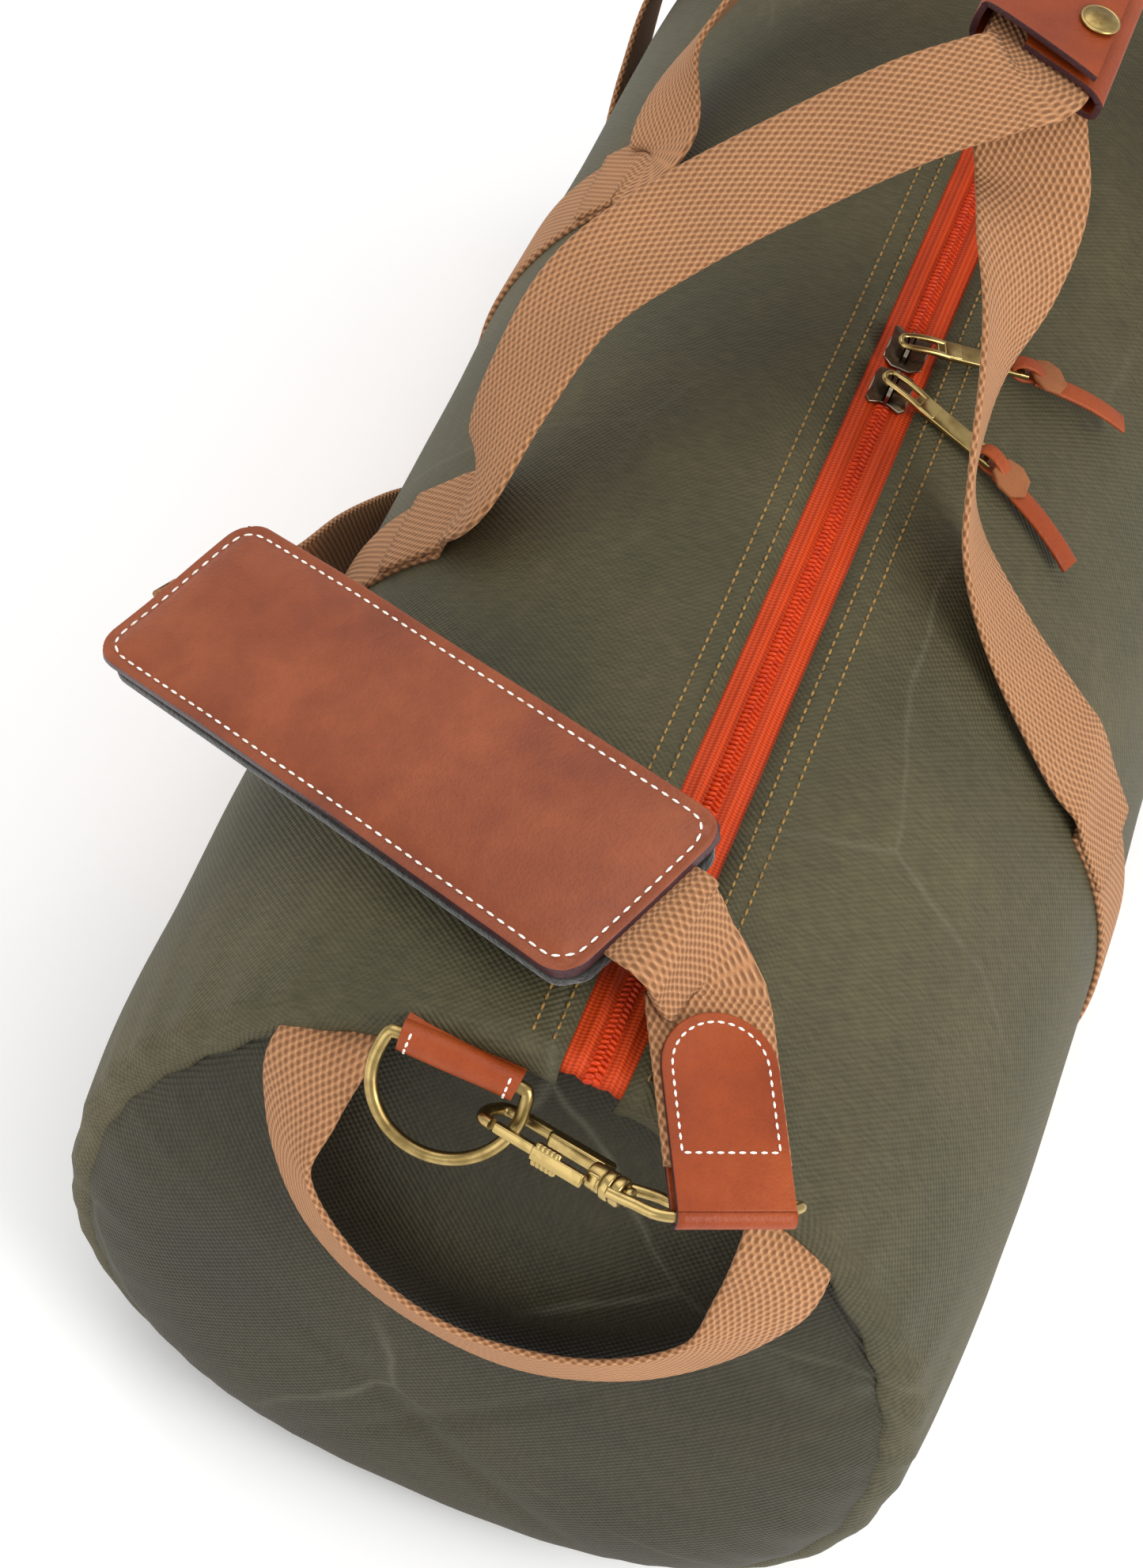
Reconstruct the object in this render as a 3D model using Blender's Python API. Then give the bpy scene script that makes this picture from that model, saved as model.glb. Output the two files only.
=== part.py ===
"""Barrel duffel bag with webbing handles, a two-way zip and a clip-on shoulder strap.

Units are metres. X runs along the bag, with the near end at -X. +Y is the bag's left
side, +Z is up, and the bag stands on the floor at z = 0 under its centre.
"""

import math

import bmesh
import bpy
from mathutils import Matrix, Vector

# ---- overall size of the bag -------------------------------------------------
LENGTH = 0.624            # over the two domed end panels
WIDTH = 0.280
HEIGHT = 0.256
BELLY = 0.120             # height of the widest point: the filled bag sags below its middle
END_BULGE = 0.012         # how far each end panel domes out past its seam
SEAM = LENGTH / 2 - END_BULGE
END_PINCH = 0.045         # share of the width that the end seams draw in
PINCH_RUN = 0.070         # length over which the width draws in
BOTTOM_POWER = 2.5        # squareness of the lower half: it spreads on the floor

# ---- sheet thicknesses and the gap kept between touching pieces ---------------
GAP = 0.0004
CANVAS = 0.0016
LINING = 0.0008
WEBBING = 0.0020
WEBBING_WIDTH = 0.038
LEATHER = 0.0024

# ---- zip ---------------------------------------------------------------------
ZIP_OPENING = 0.020       # width of tape that shows between the canvas edges
TAPE = 0.0008
TAPE_EDGE = 0.024         # how far each tape reaches out under the canvas
COIL_GAP = 0.0012
COIL_WIDTH = 0.0032
COIL_HEIGHT = 0.0024
SLIDER_LENGTH = 0.018
SLIDER_WIDTH = 0.0136
SLIDER_WALL = 0.0012
BRIDGE_LENGTH = 0.012
BRIDGE_HEIGHT = 0.0050
BRIDGE_WALL = 0.0016
LINK_RING = 0.0038        # outer radius of the ring that hangs on the slider's bridge
LINK_HOLE = 0.0024
LINK_LENGTH = 0.0400
LINK_CLEAR = 0.0060       # how far a resting link's tip stays above the canvas
PULL_TAIL = 0.0440        # the leather beyond the link
PULL_CLEAR = 0.0100       # how far its end stays above the canvas
LINK_WIDTH = 0.0072
CROSSBAR = 0.0025         # the bar at the link's tip that the leather loops round

# ---- bands, handles and the grip ---------------------------------------------
BAND_X = SEAM * 0.31      # where the webbing bands go round the bag, each side of centre
BAND_TOP = math.radians(54)  # how far down from the top of the bag the bands end
GRIP_X = SEAM * 0.350     # the grip leans towards the far end
GRIP_Z = HEIGHT * 1.357   # and stands this high when the handles are held up
GRIP_LENGTH = 0.106
GRIP_WIDTH = WEBBING_WIDTH + 0.0100

# ---- D-rings, hooks and strap tabs -------------------------------------------
RING_WIRE = 0.0020
RING_INNER = WEBBING_WIDTH + 0.001
RING_ARC = RING_INNER / 2 + RING_WIRE
RING_DROP = 0.008
RING_Y = 0.035
RING_Z = HEIGHT - 0.0115
TAB_WIDTH = 0.034
HOOK_WINDOW = 0.0070      # half length of the hook's window
HOOK_REACH = 0.0055       # half width of the hook's window
HOOK_WALL = 0.0030
HOOK_THICK = 0.0044
BOLT = 0.0026
EYE_WIRE = 0.0015
EYE_RISE = 0.0031         # how far the eye's bar lies above the canvas beside it
PAD_LENGTH = 0.208
PAD_WIDTH = 0.066
PAD_REST = 0.01304        # how far the pad's strap stays above the canvas it lies over


# ==== small helpers ===========================================================
def material(name, colour, roughness=0.8, metallic=0.0):
    """A plain Principled material; the same name always gives the same material."""
    found = bpy.data.materials.get(name)
    if found:
        return found
    made = bpy.data.materials.new(name)
    made.use_nodes = True
    shader = made.node_tree.nodes["Principled BSDF"]
    shader.inputs["Base Color"].default_value = (*colour, 1.0)
    shader.inputs["Roughness"].default_value = roughness
    shader.inputs["Metallic"].default_value = metallic
    made.diffuse_color = (*colour, 1.0)
    return made


def canvas():
    return material("canvas", (0.105, 0.092, 0.058), 0.85)


def webbing():
    return material("webbing", (0.45, 0.24, 0.13), 0.9)


def leather():
    return material("leather", (0.42, 0.115, 0.045), 0.5)


def brass():
    return material("brass", (0.36, 0.26, 0.11), 0.35, 1.0)


def solid(name, points, faces, stuff, smooth=False):
    """One closed body from points and faces, with its faces turned outward."""
    mesh = bpy.data.meshes.new(name)
    mesh.from_pydata([tuple(p) for p in points], [], faces)
    mesh.validate()
    made = bpy.data.objects.new(name, mesh)
    bpy.context.scene.collection.objects.link(made)
    mesh.materials.append(stuff)
    turn_outward(mesh)
    if smooth:
        mesh.shade_smooth()
    return made


def turn_outward(mesh):
    held = bmesh.new()
    held.from_mesh(mesh)
    bmesh.ops.recalc_face_normals(held, faces=held.faces)
    if held.calc_volume(signed=True) < 0:
        bmesh.ops.reverse_faces(held, faces=held.faces)
    held.to_mesh(mesh)
    held.free()


def sandwich(name, outer, inner, stuff, closed=False, smooth=True):
    """A closed body between two grids of points. closed joins each row end to end."""
    rows, columns = len(outer), len(outer[0])
    points = [p for grid in (outer, inner) for row in grid for p in row]

    def at(layer, row, column):
        return (layer * rows + row) * columns + column % columns

    faces = []
    spans = columns if closed else columns - 1
    for row in range(rows - 1):
        for column in range(spans):
            for layer in (0, 1):
                faces.append((at(layer, row, column), at(layer, row + 1, column),
                              at(layer, row + 1, column + 1), at(layer, row, column + 1)))
    for row in (0, rows - 1):
        for column in range(spans):
            faces.append((at(0, row, column), at(1, row, column),
                          at(1, row, column + 1), at(0, row, column + 1)))
    if not closed:
        for column in (0, columns - 1):
            for row in range(rows - 1):
                faces.append((at(0, row, column), at(0, row + 1, column),
                              at(1, row + 1, column), at(1, row, column)))
    return solid(name, points, faces, stuff, smooth)


def prism(name, outline, origin, across, up, length, stuff, start=0.0, smooth=False):
    """A flat outline, drawn along across and up, pushed out along their cross product."""
    across, up = Vector(across).normalized(), Vector(up).normalized()
    along = across.cross(up)
    origin = Vector(origin)
    count = len(outline)
    points = []
    for depth in (start, start + length):
        for a, b in outline:
            points.append(origin + across * a + up * b + along * depth)
    faces = [tuple(range(count)), tuple(range(count, 2 * count))]
    for i in range(count):
        j = (i + 1) % count
        faces.append((i, j, count + j, count + i))
    return solid(name, points, faces, stuff, smooth)


def ring_prism(name, outer, inner, origin, across, up, length, stuff, start=0.0):
    """Like prism, with a hole: outer and inner are outlines of as many points."""
    across, up = Vector(across).normalized(), Vector(up).normalized()
    along = across.cross(up)
    origin = Vector(origin)

    def lay(outline, depth):
        return [origin + across * a + up * b + along * depth for a, b in outline]

    return sandwich(name, [lay(outer, start), lay(outer, start + length)],
                    [lay(inner, start), lay(inner, start + length)], stuff, closed=True)


def circle(radius, count, centre=(0.0, 0.0), squash=1.0):
    return [(centre[0] + radius * math.cos(math.tau * i / count),
             centre[1] + radius * squash * math.sin(math.tau * i / count))
            for i in range(count)]


def box(name, low, high, origin, across, up, stuff):
    """A block given by its corner distances along across, up and their cross product."""
    outline = [(low[0], low[1]), (high[0], low[1]), (high[0], high[1]), (low[0], high[1])]
    return prism(name, outline, origin, across, up, high[2] - low[2], stuff, start=low[2])


def smooth_path(knots, per_span, closed=False):
    """Points on a Catmull-Rom curve through the knots."""
    knots = [Vector(k) for k in knots]
    count = len(knots)
    path = []
    for i in range(count if closed else count - 1):
        if closed:
            a, b, c, d = (knots[(i + k) % count] for k in (-1, 0, 1, 2))
        else:
            b, c = knots[i], knots[i + 1]
            a = knots[i - 1] if i else b * 2 - c
            d = knots[i + 2] if i + 2 < count else c * 2 - b
        for step in range(per_span):
            t = step / per_span
            path.append(0.5 * ((b * 2) + (c - a) * t + (a * 2 - b * 5 + c * 4 - d) * t * t
                               + (b * 3 - a - c * 3 + d) * t * t * t))
    if not closed:
        path.append(knots[-1])
    return path


def ribbon(name, knots, faces_to, width, thickness, stuff, per_span=4):
    """Webbing swept along knots; faces_to is the way its flat face points at each knot."""
    path = smooth_path(knots, per_span)
    facing = smooth_path(faces_to, per_span)
    top, bottom = [], []
    for i, point in enumerate(path):
        along = (path[min(i + 1, len(path) - 1)] - path[max(i - 1, 0)]).normalized()
        side = along.cross(facing[i]).normalized()
        normal = side.cross(along).normalized()
        edge = [point + side * width * share for share in (-0.5, 0.0, 0.5)]
        top.append([e + normal * thickness / 2 for e in edge])
        bottom.append([e - normal * thickness / 2 for e in edge])
    return sandwich(name, top, bottom, stuff)


def wire(name, path, radius, stuff, sides=8, closed=True, first_side=(0, 0, 1)):
    """A round wire along a path of points."""
    rings = []
    count = len(path)
    side = Vector(first_side)
    for i, point in enumerate(path):
        if closed:
            along = path[(i + 1) % count] - path[i - 1]
        else:
            along = path[min(i + 1, count - 1)] - path[max(i - 1, 0)]
        along.normalize()
        side = (side - along * side.dot(along)).normalized()
        other = along.cross(side)
        rings.append([point + (side * math.cos(math.tau * k / sides)
                               + other * math.sin(math.tau * k / sides)) * radius
                      for k in range(sides)])
    points = [p for ring in rings for p in ring]
    faces = []
    for i in range(count if closed else count - 1):
        j = (i + 1) % count
        for k in range(sides):
            m = (k + 1) % sides
            faces.append((i * sides + k, i * sides + m, j * sides + m, j * sides + k))
    if not closed:
        faces.append(tuple(range(sides)))
        faces.append(tuple(range((count - 1) * sides, count * sides)))
    return solid(name, points, faces, stuff, smooth=True)


def combine(base, tools, operation):
    """Joins tools to base, or cuts them from it, and hides them as helpers."""
    for tool in tools:
        step = base.modifiers.new(operation.lower() + "_" + tool.name, "BOOLEAN")
        step.operation = operation
        step.solver = "EXACT"
        step.object = tool
        tool.hide_render = True
        tool.display_type = "WIRE"
    return base


# ==== the bag's skin ==========================================================
def drawn_in(x):
    """Share of the full width at x: the ends are gathered by their seams."""
    run = max(0.0, (abs(x) - (SEAM - PINCH_RUN)) / PINCH_RUN)
    return 1.0 - END_PINCH * run * run


def floor_level(x):
    """Height of the bag's underside: it lifts over each webbing band."""
    away = abs(abs(x) - BAND_X) - WEBBING_WIDTH / 2
    lift = min(1.0, max(0.0, 1.0 - (away - 0.001) / 0.006))
    return (WEBBING + GAP) * lift


def outline_point(x, angle):
    """Point on the bag's outer skin; angle is measured from the top towards +Y."""
    s, c = math.sin(angle), math.cos(angle)
    power = 2.0 if c > 0 else BOTTOM_POWER
    reach = HEIGHT - BELLY if c > 0 else BELLY + 0.004
    y = WIDTH / 2 * drawn_in(x) * math.copysign(abs(s) ** (2 / power), s)
    z = BELLY + reach * math.copysign(abs(c) ** (2 / power), c)
    return Vector((x, y, max(z, floor_level(x))))


def skin(x, angle, out=0.0):
    """The skin moved out, or in where out is negative, square to its surface."""
    here = outline_point(x, angle)
    ahead, behind = outline_point(x, angle + 0.02), outline_point(x, angle - 0.02)
    along = (ahead - behind).normalized()
    normal = Vector((0.0, along.z, -along.y))
    return here - normal * out if normal.dot(here - Vector((x, 0, BELLY))) < 0 else here + normal * out


def share_point(x, y, z):
    """A point given as shares of the bag's half length, half width and height."""
    return Vector((x * SEAM, y * WIDTH / 2, z * HEIGHT))


def leg_foot(side, beyond, y, z):
    """Where a handle's leg leaves its band: a distance past the band's middle, and shares."""
    return Vector((side * (BAND_X + beyond), y * WIDTH / 2, z * HEIGHT))


def angle_at(y):
    """The angle on the top half at which the skin is y from the middle."""
    return math.asin(y / (WIDTH / 2))


def on_bag(name, stations, angles, under, thickness, stuff):
    """A sheet that follows the bag's skin at a given depth under it."""
    outer = [[skin(x, a, -under) for a in angles] for x in stations]
    inner = [[skin(x, a, -under - thickness) for a in angles] for x in stations]
    return sandwich(name, outer, inner, stuff)


def spread(low, high, count):
    return [low + (high - low) * i / (count - 1) for i in range(count)]


def both_ways(values):
    """The stations of one half of the bag, and the same mirrored, in order."""
    return sorted({round(-v, 6) for v in values} | {round(v, 6) for v in values})


def panel_angles():
    """The angles of the main panel's folds, from one edge of the zip round to the other."""
    edge = angle_at(ZIP_OPENING / 2)
    return spread(edge, math.tau - edge, 49)


def main_panel():
    half = WEBBING_WIDTH / 2
    stations = both_ways([0.0, 0.040, BAND_X - half - 0.008, BAND_X - half - 0.001,
                          BAND_X, BAND_X + half + 0.001, BAND_X + half + 0.008, 0.165,
                          SEAM - PINCH_RUN, SEAM - 0.035, SEAM - 0.014, SEAM])
    return on_bag("main_panel", stations, panel_angles(), 0.0, CANVAS, canvas())


def lining():
    half = WEBBING_WIDTH / 2
    stations = both_ways([0.0, BAND_X - half - 0.008, BAND_X - half - 0.001,
                          BAND_X + half + 0.001, BAND_X + half + 0.008, 0.180,
                          SEAM - 0.040, SEAM - 0.012])
    edge = angle_at(TAPE_EDGE + 0.008)
    return on_bag("lining", stations, spread(edge, math.tau - edge, 33), 0.0048, LINING,
                  material("lining_cloth", (0.25, 0.22, 0.17)))


def end_panel(side, name):
    """A domed panel whose rim sits just inside the main panel's edge."""
    rim = SEAM - 0.004
    centre = Vector((0, 0, HEIGHT / 2))
    angles = [0.0, *panel_angles()]
    count = len(angles)
    shares = (1.0, 0.90, 0.72, 0.48, 0.22)
    layers = []
    for inward in (0.0, CANVAS):
        grid = []
        for share in shares:
            bulge = (END_BULGE + 0.004) * (1 - share * share)
            x = rim + bulge - inward
            ring = []
            for i in range(count):
                edge = skin(rim, angles[i], -CANVAS - GAP)
                ring.append(Vector((x * side, edge.y * share,
                                    centre.z + (edge.z - centre.z) * share)))
            grid.append(ring)
        layers.append(grid)
    points, faces = [], []
    for layer, grid in enumerate(layers):
        for ring in grid:
            points += ring
        points.append(Vector(((rim + END_BULGE + 0.004 - layer * CANVAS) * side, 0, centre.z)))
    block = len(shares) * count + 1
    for layer in (0, 1):
        base = layer * block
        for r in range(len(shares) - 1):
            for i in range(count):
                j = (i + 1) % count
                faces.append((base + r * count + i, base + r * count + j,
                              base + (r + 1) * count + j, base + (r + 1) * count + i))
        last = base + (len(shares) - 1) * count
        for i in range(count):
            faces.append((last + i, last + (i + 1) % count, base + block - 1))
    for i in range(count):
        j = (i + 1) % count
        faces.append((i, j, block + j, block + i))
    return solid(name, points, faces, canvas(), smooth=True)


def seam_binding(side, name):
    """The tape that binds the raw edges of an end seam, inside the bag."""
    stations = sorted([side * (SEAM - 0.0170), side * (SEAM - 0.0075)])
    edge = angle_at(TAPE_EDGE + 0.004)
    return on_bag(name, stations, spread(edge, math.tau - edge, 33), CANVAS + 2 * GAP, 0.0010,
                  material("binding_tape", (0.06, 0.055, 0.04)))


def inner_pocket():
    return on_bag("inner_pocket", spread(-0.11, 0.11, 7),
                  spread(math.radians(62), math.radians(112), 7), 0.0085, LINING,
                  material("pocket_cloth", (0.22, 0.19, 0.15)))


def base_board():
    """The stiff board that lies on the lining and keeps the bottom flat."""
    return box("base_board", (-0.265, -0.062, 0.0093), (0.265, 0.062, 0.0117),
               (0, 0, 0), (1, 0, 0), (0, 1, 0), material("board", (0.03, 0.03, 0.03)))


# ==== zip =====================================================================
ZIP_LEVEL = HEIGHT - CANVAS - GAP - TAPE / 2     # middle of the tape and of the coil


def zip_halves():
    orange = material("zip_tape", (0.75, 0.085, 0.01), 0.7)
    coil = material("zip_coil", (0.52, 0.05, 0.01), 0.4)
    ends = SEAM - 0.0065
    inner = COIL_GAP / 2 + COIL_WIDTH + GAP
    for side, name in ((1, "left"), (-1, "right")):
        angles = [side * angle_at(y) for y in spread(inner, TAPE_EDGE, 4)]
        on_bag("zip_tape_" + name, both_ways([0.0, 0.12, SEAM - PINCH_RUN, SEAM - 0.035, SEAM - 0.014, ends]),
               angles, CANVAS + GAP, TAPE, orange)
        middle = side * (COIL_GAP + COIL_WIDTH) / 2
        outline = [(middle + a, ZIP_LEVEL + b)
                   for a, b in circle(COIL_WIDTH / 2, 8, squash=COIL_HEIGHT / COIL_WIDTH)]
        prism("zip_coil_" + name, outline, (-ends, 0, 0), (0, 1, 0), (0, 0, 1), 2 * ends, coil)


def slider(name, x):
    """Top and bottom plates joined by a thin wall, with lips that leave the tape room."""
    wide = SLIDER_WIDTH / 2
    lip = wide - SLIDER_WALL
    inside = COIL_HEIGHT / 2 + GAP
    outside = inside + SLIDER_WALL
    slot = TAPE / 2 + 0.0003
    post = COIL_GAP / 4
    outline = [(wide, slot), (wide, outside), (-wide, outside), (-wide, slot), (-lip, slot),
               (-lip, inside), (-post, inside), (-post, -inside), (-lip, -inside), (-lip, -slot),
               (-wide, -slot), (-wide, -outside), (wide, -outside), (wide, -slot), (lip, -slot),
               (lip, -inside), (post, -inside), (post, inside), (lip, inside), (lip, slot)]
    body = prism(name, outline, (x - SLIDER_LENGTH / 2, 0, ZIP_LEVEL), (0, 1, 0), (0, 0, 1),
                 SLIDER_LENGTH, brass())
    half, wall, tall = BRIDGE_LENGTH / 2, BRIDGE_WALL, BRIDGE_HEIGHT
    arch = [(-half, -0.0004), (-half + wall, -0.0004), (-half + wall, tall - wall),
            (half - wall, tall - wall), (half - wall, -0.0004), (half, -0.0004),
            (half, tall - 0.0012), (half - 0.0012, tall), (-half + 0.0012, tall),
            (-half, tall - 0.0012)]
    bridge = prism(name + "_bridge", arch, (x, 0, ZIP_LEVEL + outside), (1, 0, 0), (0, 0, 1),
                   0.0020, brass(), start=-0.0010)
    combine(body, [bridge], "UNION")
    return Vector((x, 0, ZIP_LEVEL + outside + BRIDGE_HEIGHT - BRIDGE_WALL / 2))


def resting_dip(start, yaw, length, clear):
    """How steeply a straight piece lies if its end rests clear above the canvas."""
    end = start.y - length * math.cos(yaw) * 0.99
    return math.asin((start.z - clear - outline_point(0.0, angle_at(end)).z) / length)


def pull_link(name, pivot, yaw, dip):
    """The brass link that hangs on the slider's bridge, lying down the bag's right side."""
    along = Vector((-math.sin(yaw) * math.cos(dip), -math.cos(yaw) * math.cos(dip), -math.sin(dip)))
    flat = Vector((-math.cos(yaw), math.sin(yaw), 0))
    up = flat.cross(along).normalized()
    if up.z < 0:
        up = -up
    link = ring_prism(name, circle(LINK_RING, 14), circle(LINK_HOLE, 14), pivot, along, up,
                      0.0030, brass(), start=-0.0015)
    arm = box(name + "_arm", (LINK_HOLE + 0.0008, -0.0007, -0.0012), (0.016, 0.0007, 0.0012),
              pivot, along, up, brass())
    plate = box(name + "_plate", (0.0140, -0.0009, -LINK_WIDTH / 2),
                (LINK_LENGTH, 0.0009, LINK_WIDTH / 2), pivot, along, up, brass())
    window_end = LINK_LENGTH - CROSSBAR
    window_half = LINK_WIDTH / 2 - 0.0011
    window = box(name + "_window", (window_end - 0.0056, -0.01, -window_half),
                 (window_end, 0.01, window_half), pivot, along, up, brass())
    combine(link, [arm, plate], "UNION")
    combine(link, [window], "DIFFERENCE")
    return pivot + along * (LINK_LENGTH - CROSSBAR / 2), along, up


def leather_pull(name, pivot, along, up, dip):
    """A leather strip looped through the link and knotted, with its tail hanging on."""
    turned = Matrix.Rotation(dip, 3, along.cross(up))
    along, up = turned @ along, turned @ up
    if along.z > 0:
        raise ValueError(name + " rises")
    wide = LINK_WIDTH / 2 - 0.0015
    loop = ring_prism(name, circle(0.0033, 14), circle(0.0019, 14), pivot, along, up,
                      2 * wide, leather(), start=-wide)
    knot = box(name + "_knot", (0.0026, -0.0030, -0.0046), (0.0120, 0.0030, 0.0046),
               pivot, along, up, leather())
    tail = box(name + "_tail", (0.0110, -0.0010, -0.0042), (PULL_TAIL, 0.0010, 0.0042),
               pivot, along, up, leather())
    combine(loop, [knot, tail], "UNION")


# ==== webbing on the bag ======================================================
def band(side, name):
    """Webbing sewn round the bag under the handles, from one side to the other."""
    middle = side * BAND_X
    stations = spread(middle - WEBBING_WIDTH / 2, middle + WEBBING_WIDTH / 2, 3)
    inside = [a for a in panel_angles() if BAND_TOP + 0.02 < a < math.tau - BAND_TOP - 0.02]
    angles = [BAND_TOP, *inside, math.tau - BAND_TOP]
    return on_bag(name, stations, angles, -GAP - WEBBING, WEBBING, webbing())


def handle(side, name, level, near_leg, far_leg):
    """One webbing handle: up from the near band, through the grip, down to the far band."""
    def foot(x, above, out):
        angle = side * (BAND_TOP - above)
        return (skin(x, angle, out), skin(x, side * BAND_TOP, 1.0) - skin(x, side * BAND_TOP))

    half = GRIP_LENGTH / 2
    rise = WEBBING_WIDTH * 0.26 / (WIDTH / 2)
    route = [foot(-BAND_X, rise, GAP + WEBBING / 2), foot(-BAND_X, 2 * rise, 0.0050)]
    route += near_leg
    route += [((GRIP_X + shift, 0, level), (0, 0, 1))
              for shift in (-half - 0.004, -half * 0.5, 0.0, half * 0.5, half + 0.004)]
    route += far_leg
    route += [foot(BAND_X, 2 * rise, 0.0050), foot(BAND_X, rise, GAP + WEBBING / 2)]
    knots = [Vector(point) for point, face in route]
    facing = [Vector(face).normalized() for point, face in route]
    return ribbon(name, knots, facing, WEBBING_WIDTH, WEBBING, webbing(), per_span=3)


def handles():
    """Both handles; each leg is a list of points and of the way its flat face looks."""
    left_near = [
        (leg_foot(-1, 0.0051, 0.757, 0.93), (-0.3, 0.85, 0.4)),
        (share_point(-0.273, 0.75, 1.023), (-0.5, 0.75, 0.4)),
        (share_point(-0.18, 0.707, 1.109), (-0.55, 0.6, 0.58)),
        (share_point(-0.093, 0.579, 1.176), (-0.45, 0.45, 0.75)),
        (share_point(0.007, 0.386, 1.246), (-0.35, 0.3, 0.88)),
        (share_point(0.07, 0.21, 1.321), (-0.28, 0.12, 0.95)),
        (share_point(0.125, 0.057, 1.362), (-0.15, 0.0, 0.99)),
    ]
    left_far = [
        (share_point(0.613, 0.043, 1.367), (0.15, 0.0, 1.0)),
        (share_point(0.673, 0.286, 1.301), (0.65, 0.4, 0.6)),
        (share_point(0.613, 0.593, 1.117), (0.6, 0.65, 0.45)),
        (leg_foot(1, 0.0351, 0.793, 0.93), (0.35, 0.8, 0.45)),
    ]
    right_near = [
        (leg_foot(-1, -0.0009, -0.664, 0.895), (-0.1, -0.8, 0.6)),
        (share_point(-0.27, -0.457, 0.969), (0.0, -0.88, 0.5)),
        (share_point(-0.233, -0.307, 1.039), (0.15, -0.9, 0.42)),
        (share_point(-0.19, -0.236, 1.098), (0.28, -0.92, 0.36)),
        (share_point(-0.127, -0.193, 1.152), (0.26, -0.92, 0.4)),
        (share_point(-0.063, -0.164, 1.198), (0.1, -0.84, 0.54)),
        (share_point(0.013, -0.139, 1.236), (-0.16, -0.5, 0.82)),
        (share_point(0.085, -0.105, 1.269), (-0.3, -0.1, 0.94)),
        (share_point(0.125, -0.042, 1.318), (-0.25, 0, 0.97)),
    ]
    right_far = [
        (share_point(0.613, -0.043, 1.332), (0.3, 0.0, 0.95)),
        (share_point(0.667, -0.286, 1.238), (0.75, -0.4, 0.5)),
        (share_point(0.6, -0.593, 1.086), (0.6, -0.65, 0.45)),
        (leg_foot(1, 0.0351, -0.793, 0.922), (0.35, -0.8, 0.45)),
    ]
    step = WEBBING / 2 + WEBBING_WIDTH * 0.0158
    handle(1, "handle_left", GRIP_Z + step, left_near, left_far)
    handle(-1, "handle_right", GRIP_Z - step, right_near, right_far)


def end_handle(side, name):
    """The grab loop on an end panel: both ends go into the top of the end seam."""
    out = SEAM + 0.0033
    wide = WEBBING_WIDTH * 0.80
    leg = RING_Y + (TAB_WIDTH + wide) / 2 + 0.0018
    knots = [
        (0.0, 1.00, 0.910, (1, 0, 0.1)),
        (0.008, 1.07, 0.832, (0.85, 0.50, 0.2)),
        (0.016, 1.01, 0.734, (0.60, 0.78, 0.1)),
        (0.022, 0.73, 0.641, (0.80, 0.52, -0.22)),
        (0.0245, 0.33, 0.578, (0.88, 0.16, -0.40)),
        (0.0245, -0.14, 0.570, (0.90, -0.1, -0.36)),
        (0.022, -0.58, 0.625, (0.80, -0.52, -0.18)),
        (0.016, -0.90, 0.719, (0.62, -0.74, 0.15)),
        (0.007, -1.00, 0.820, (0.85, -0.45, 0.15)),
        (0.0, -0.97, 0.910, (1, 0, 0.1)),
    ]
    points = [Vector((side * (out + away), leg * y, HEIGHT * z)) for away, y, z, face in knots]
    facing = [Vector((side * f[0], f[1], f[2])).normalized() for away, y, z, f in knots]
    return ribbon(name, points, facing, wide, WEBBING, webbing(), per_span=3)


# ==== grip: a leather wrap that two snaps close round both handles ============
def grip():
    half = GRIP_WIDTH / 2
    low = GRIP_Z - WEBBING - GAP * 2.5 - LEATHER
    lip = GRIP_Z + WEBBING + GAP * 2.5
    lip_top = lip + LEATHER
    flap = lip_top + 0.0034
    start = -GRIP_LENGTH / 2
    origin = (GRIP_X, 0, 0)
    wall = LEATHER
    seam_y = half
    base = [(-half, low), (seam_y, low), (seam_y, flap - GAP), (seam_y - wall, flap - GAP),
            (seam_y - wall, low + wall), (-half + wall, low + wall), (-half + wall, lip),
            (0.006, lip), (0.006, lip_top), (-half, lip_top)]
    prism("wrap_base", base, origin, (0, 1, 0), (0, 0, 1), GRIP_LENGTH, leather(), start=start)
    edge = -half + 0.004
    cover = [(edge, flap), (seam_y, flap), (seam_y, flap + LEATHER), (edge, flap + LEATHER)]
    lid = prism("wrap_flap", cover, origin, (0, 1, 0), (0, 0, 1), GRIP_LENGTH, leather(),
                start=start)
    holes = []
    for side, end in ((-1, "near"), (1, "far")):
        centre = Vector((GRIP_X + side * 0.030, -0.0125, 0))
        across, up = (1, 0, 0), (0, 1, 0)
        cap = prism("snap_cap_" + end, circle(0.0062, 16), centre, across, up, 0.0018, brass(),
                    start=flap + LEATHER + GAP)
        shank = prism("cap_shank_" + end, circle(0.0014, 10), centre, across, up,
                      LEATHER + 0.0014, brass(), start=flap - 0.0006)
        combine(cap, [shank], "UNION")
        holes.append(prism("lid_hole_" + end, circle(0.0018, 10), centre, across, up, 0.02,
                           leather(), start=flap - 0.01))
        ring_prism("snap_socket_" + end, circle(0.0046, 16), circle(0.0026, 16), centre,
                   across, up, 0.0012, brass(), start=flap - GAP - 0.0012)
        stud = prism("snap_stud_" + end, circle(0.0040, 16), centre, across, up, 0.0008, brass(),
                     start=lip_top + GAP)
        nub = prism("stud_nub_" + end, circle(0.0020, 12), centre, across, up, 0.0018, brass(),
                    start=lip_top + GAP + 0.0004)
        combine(stud, [nub], "UNION")
    combine(lid, holes, "DIFFERENCE")


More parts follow.
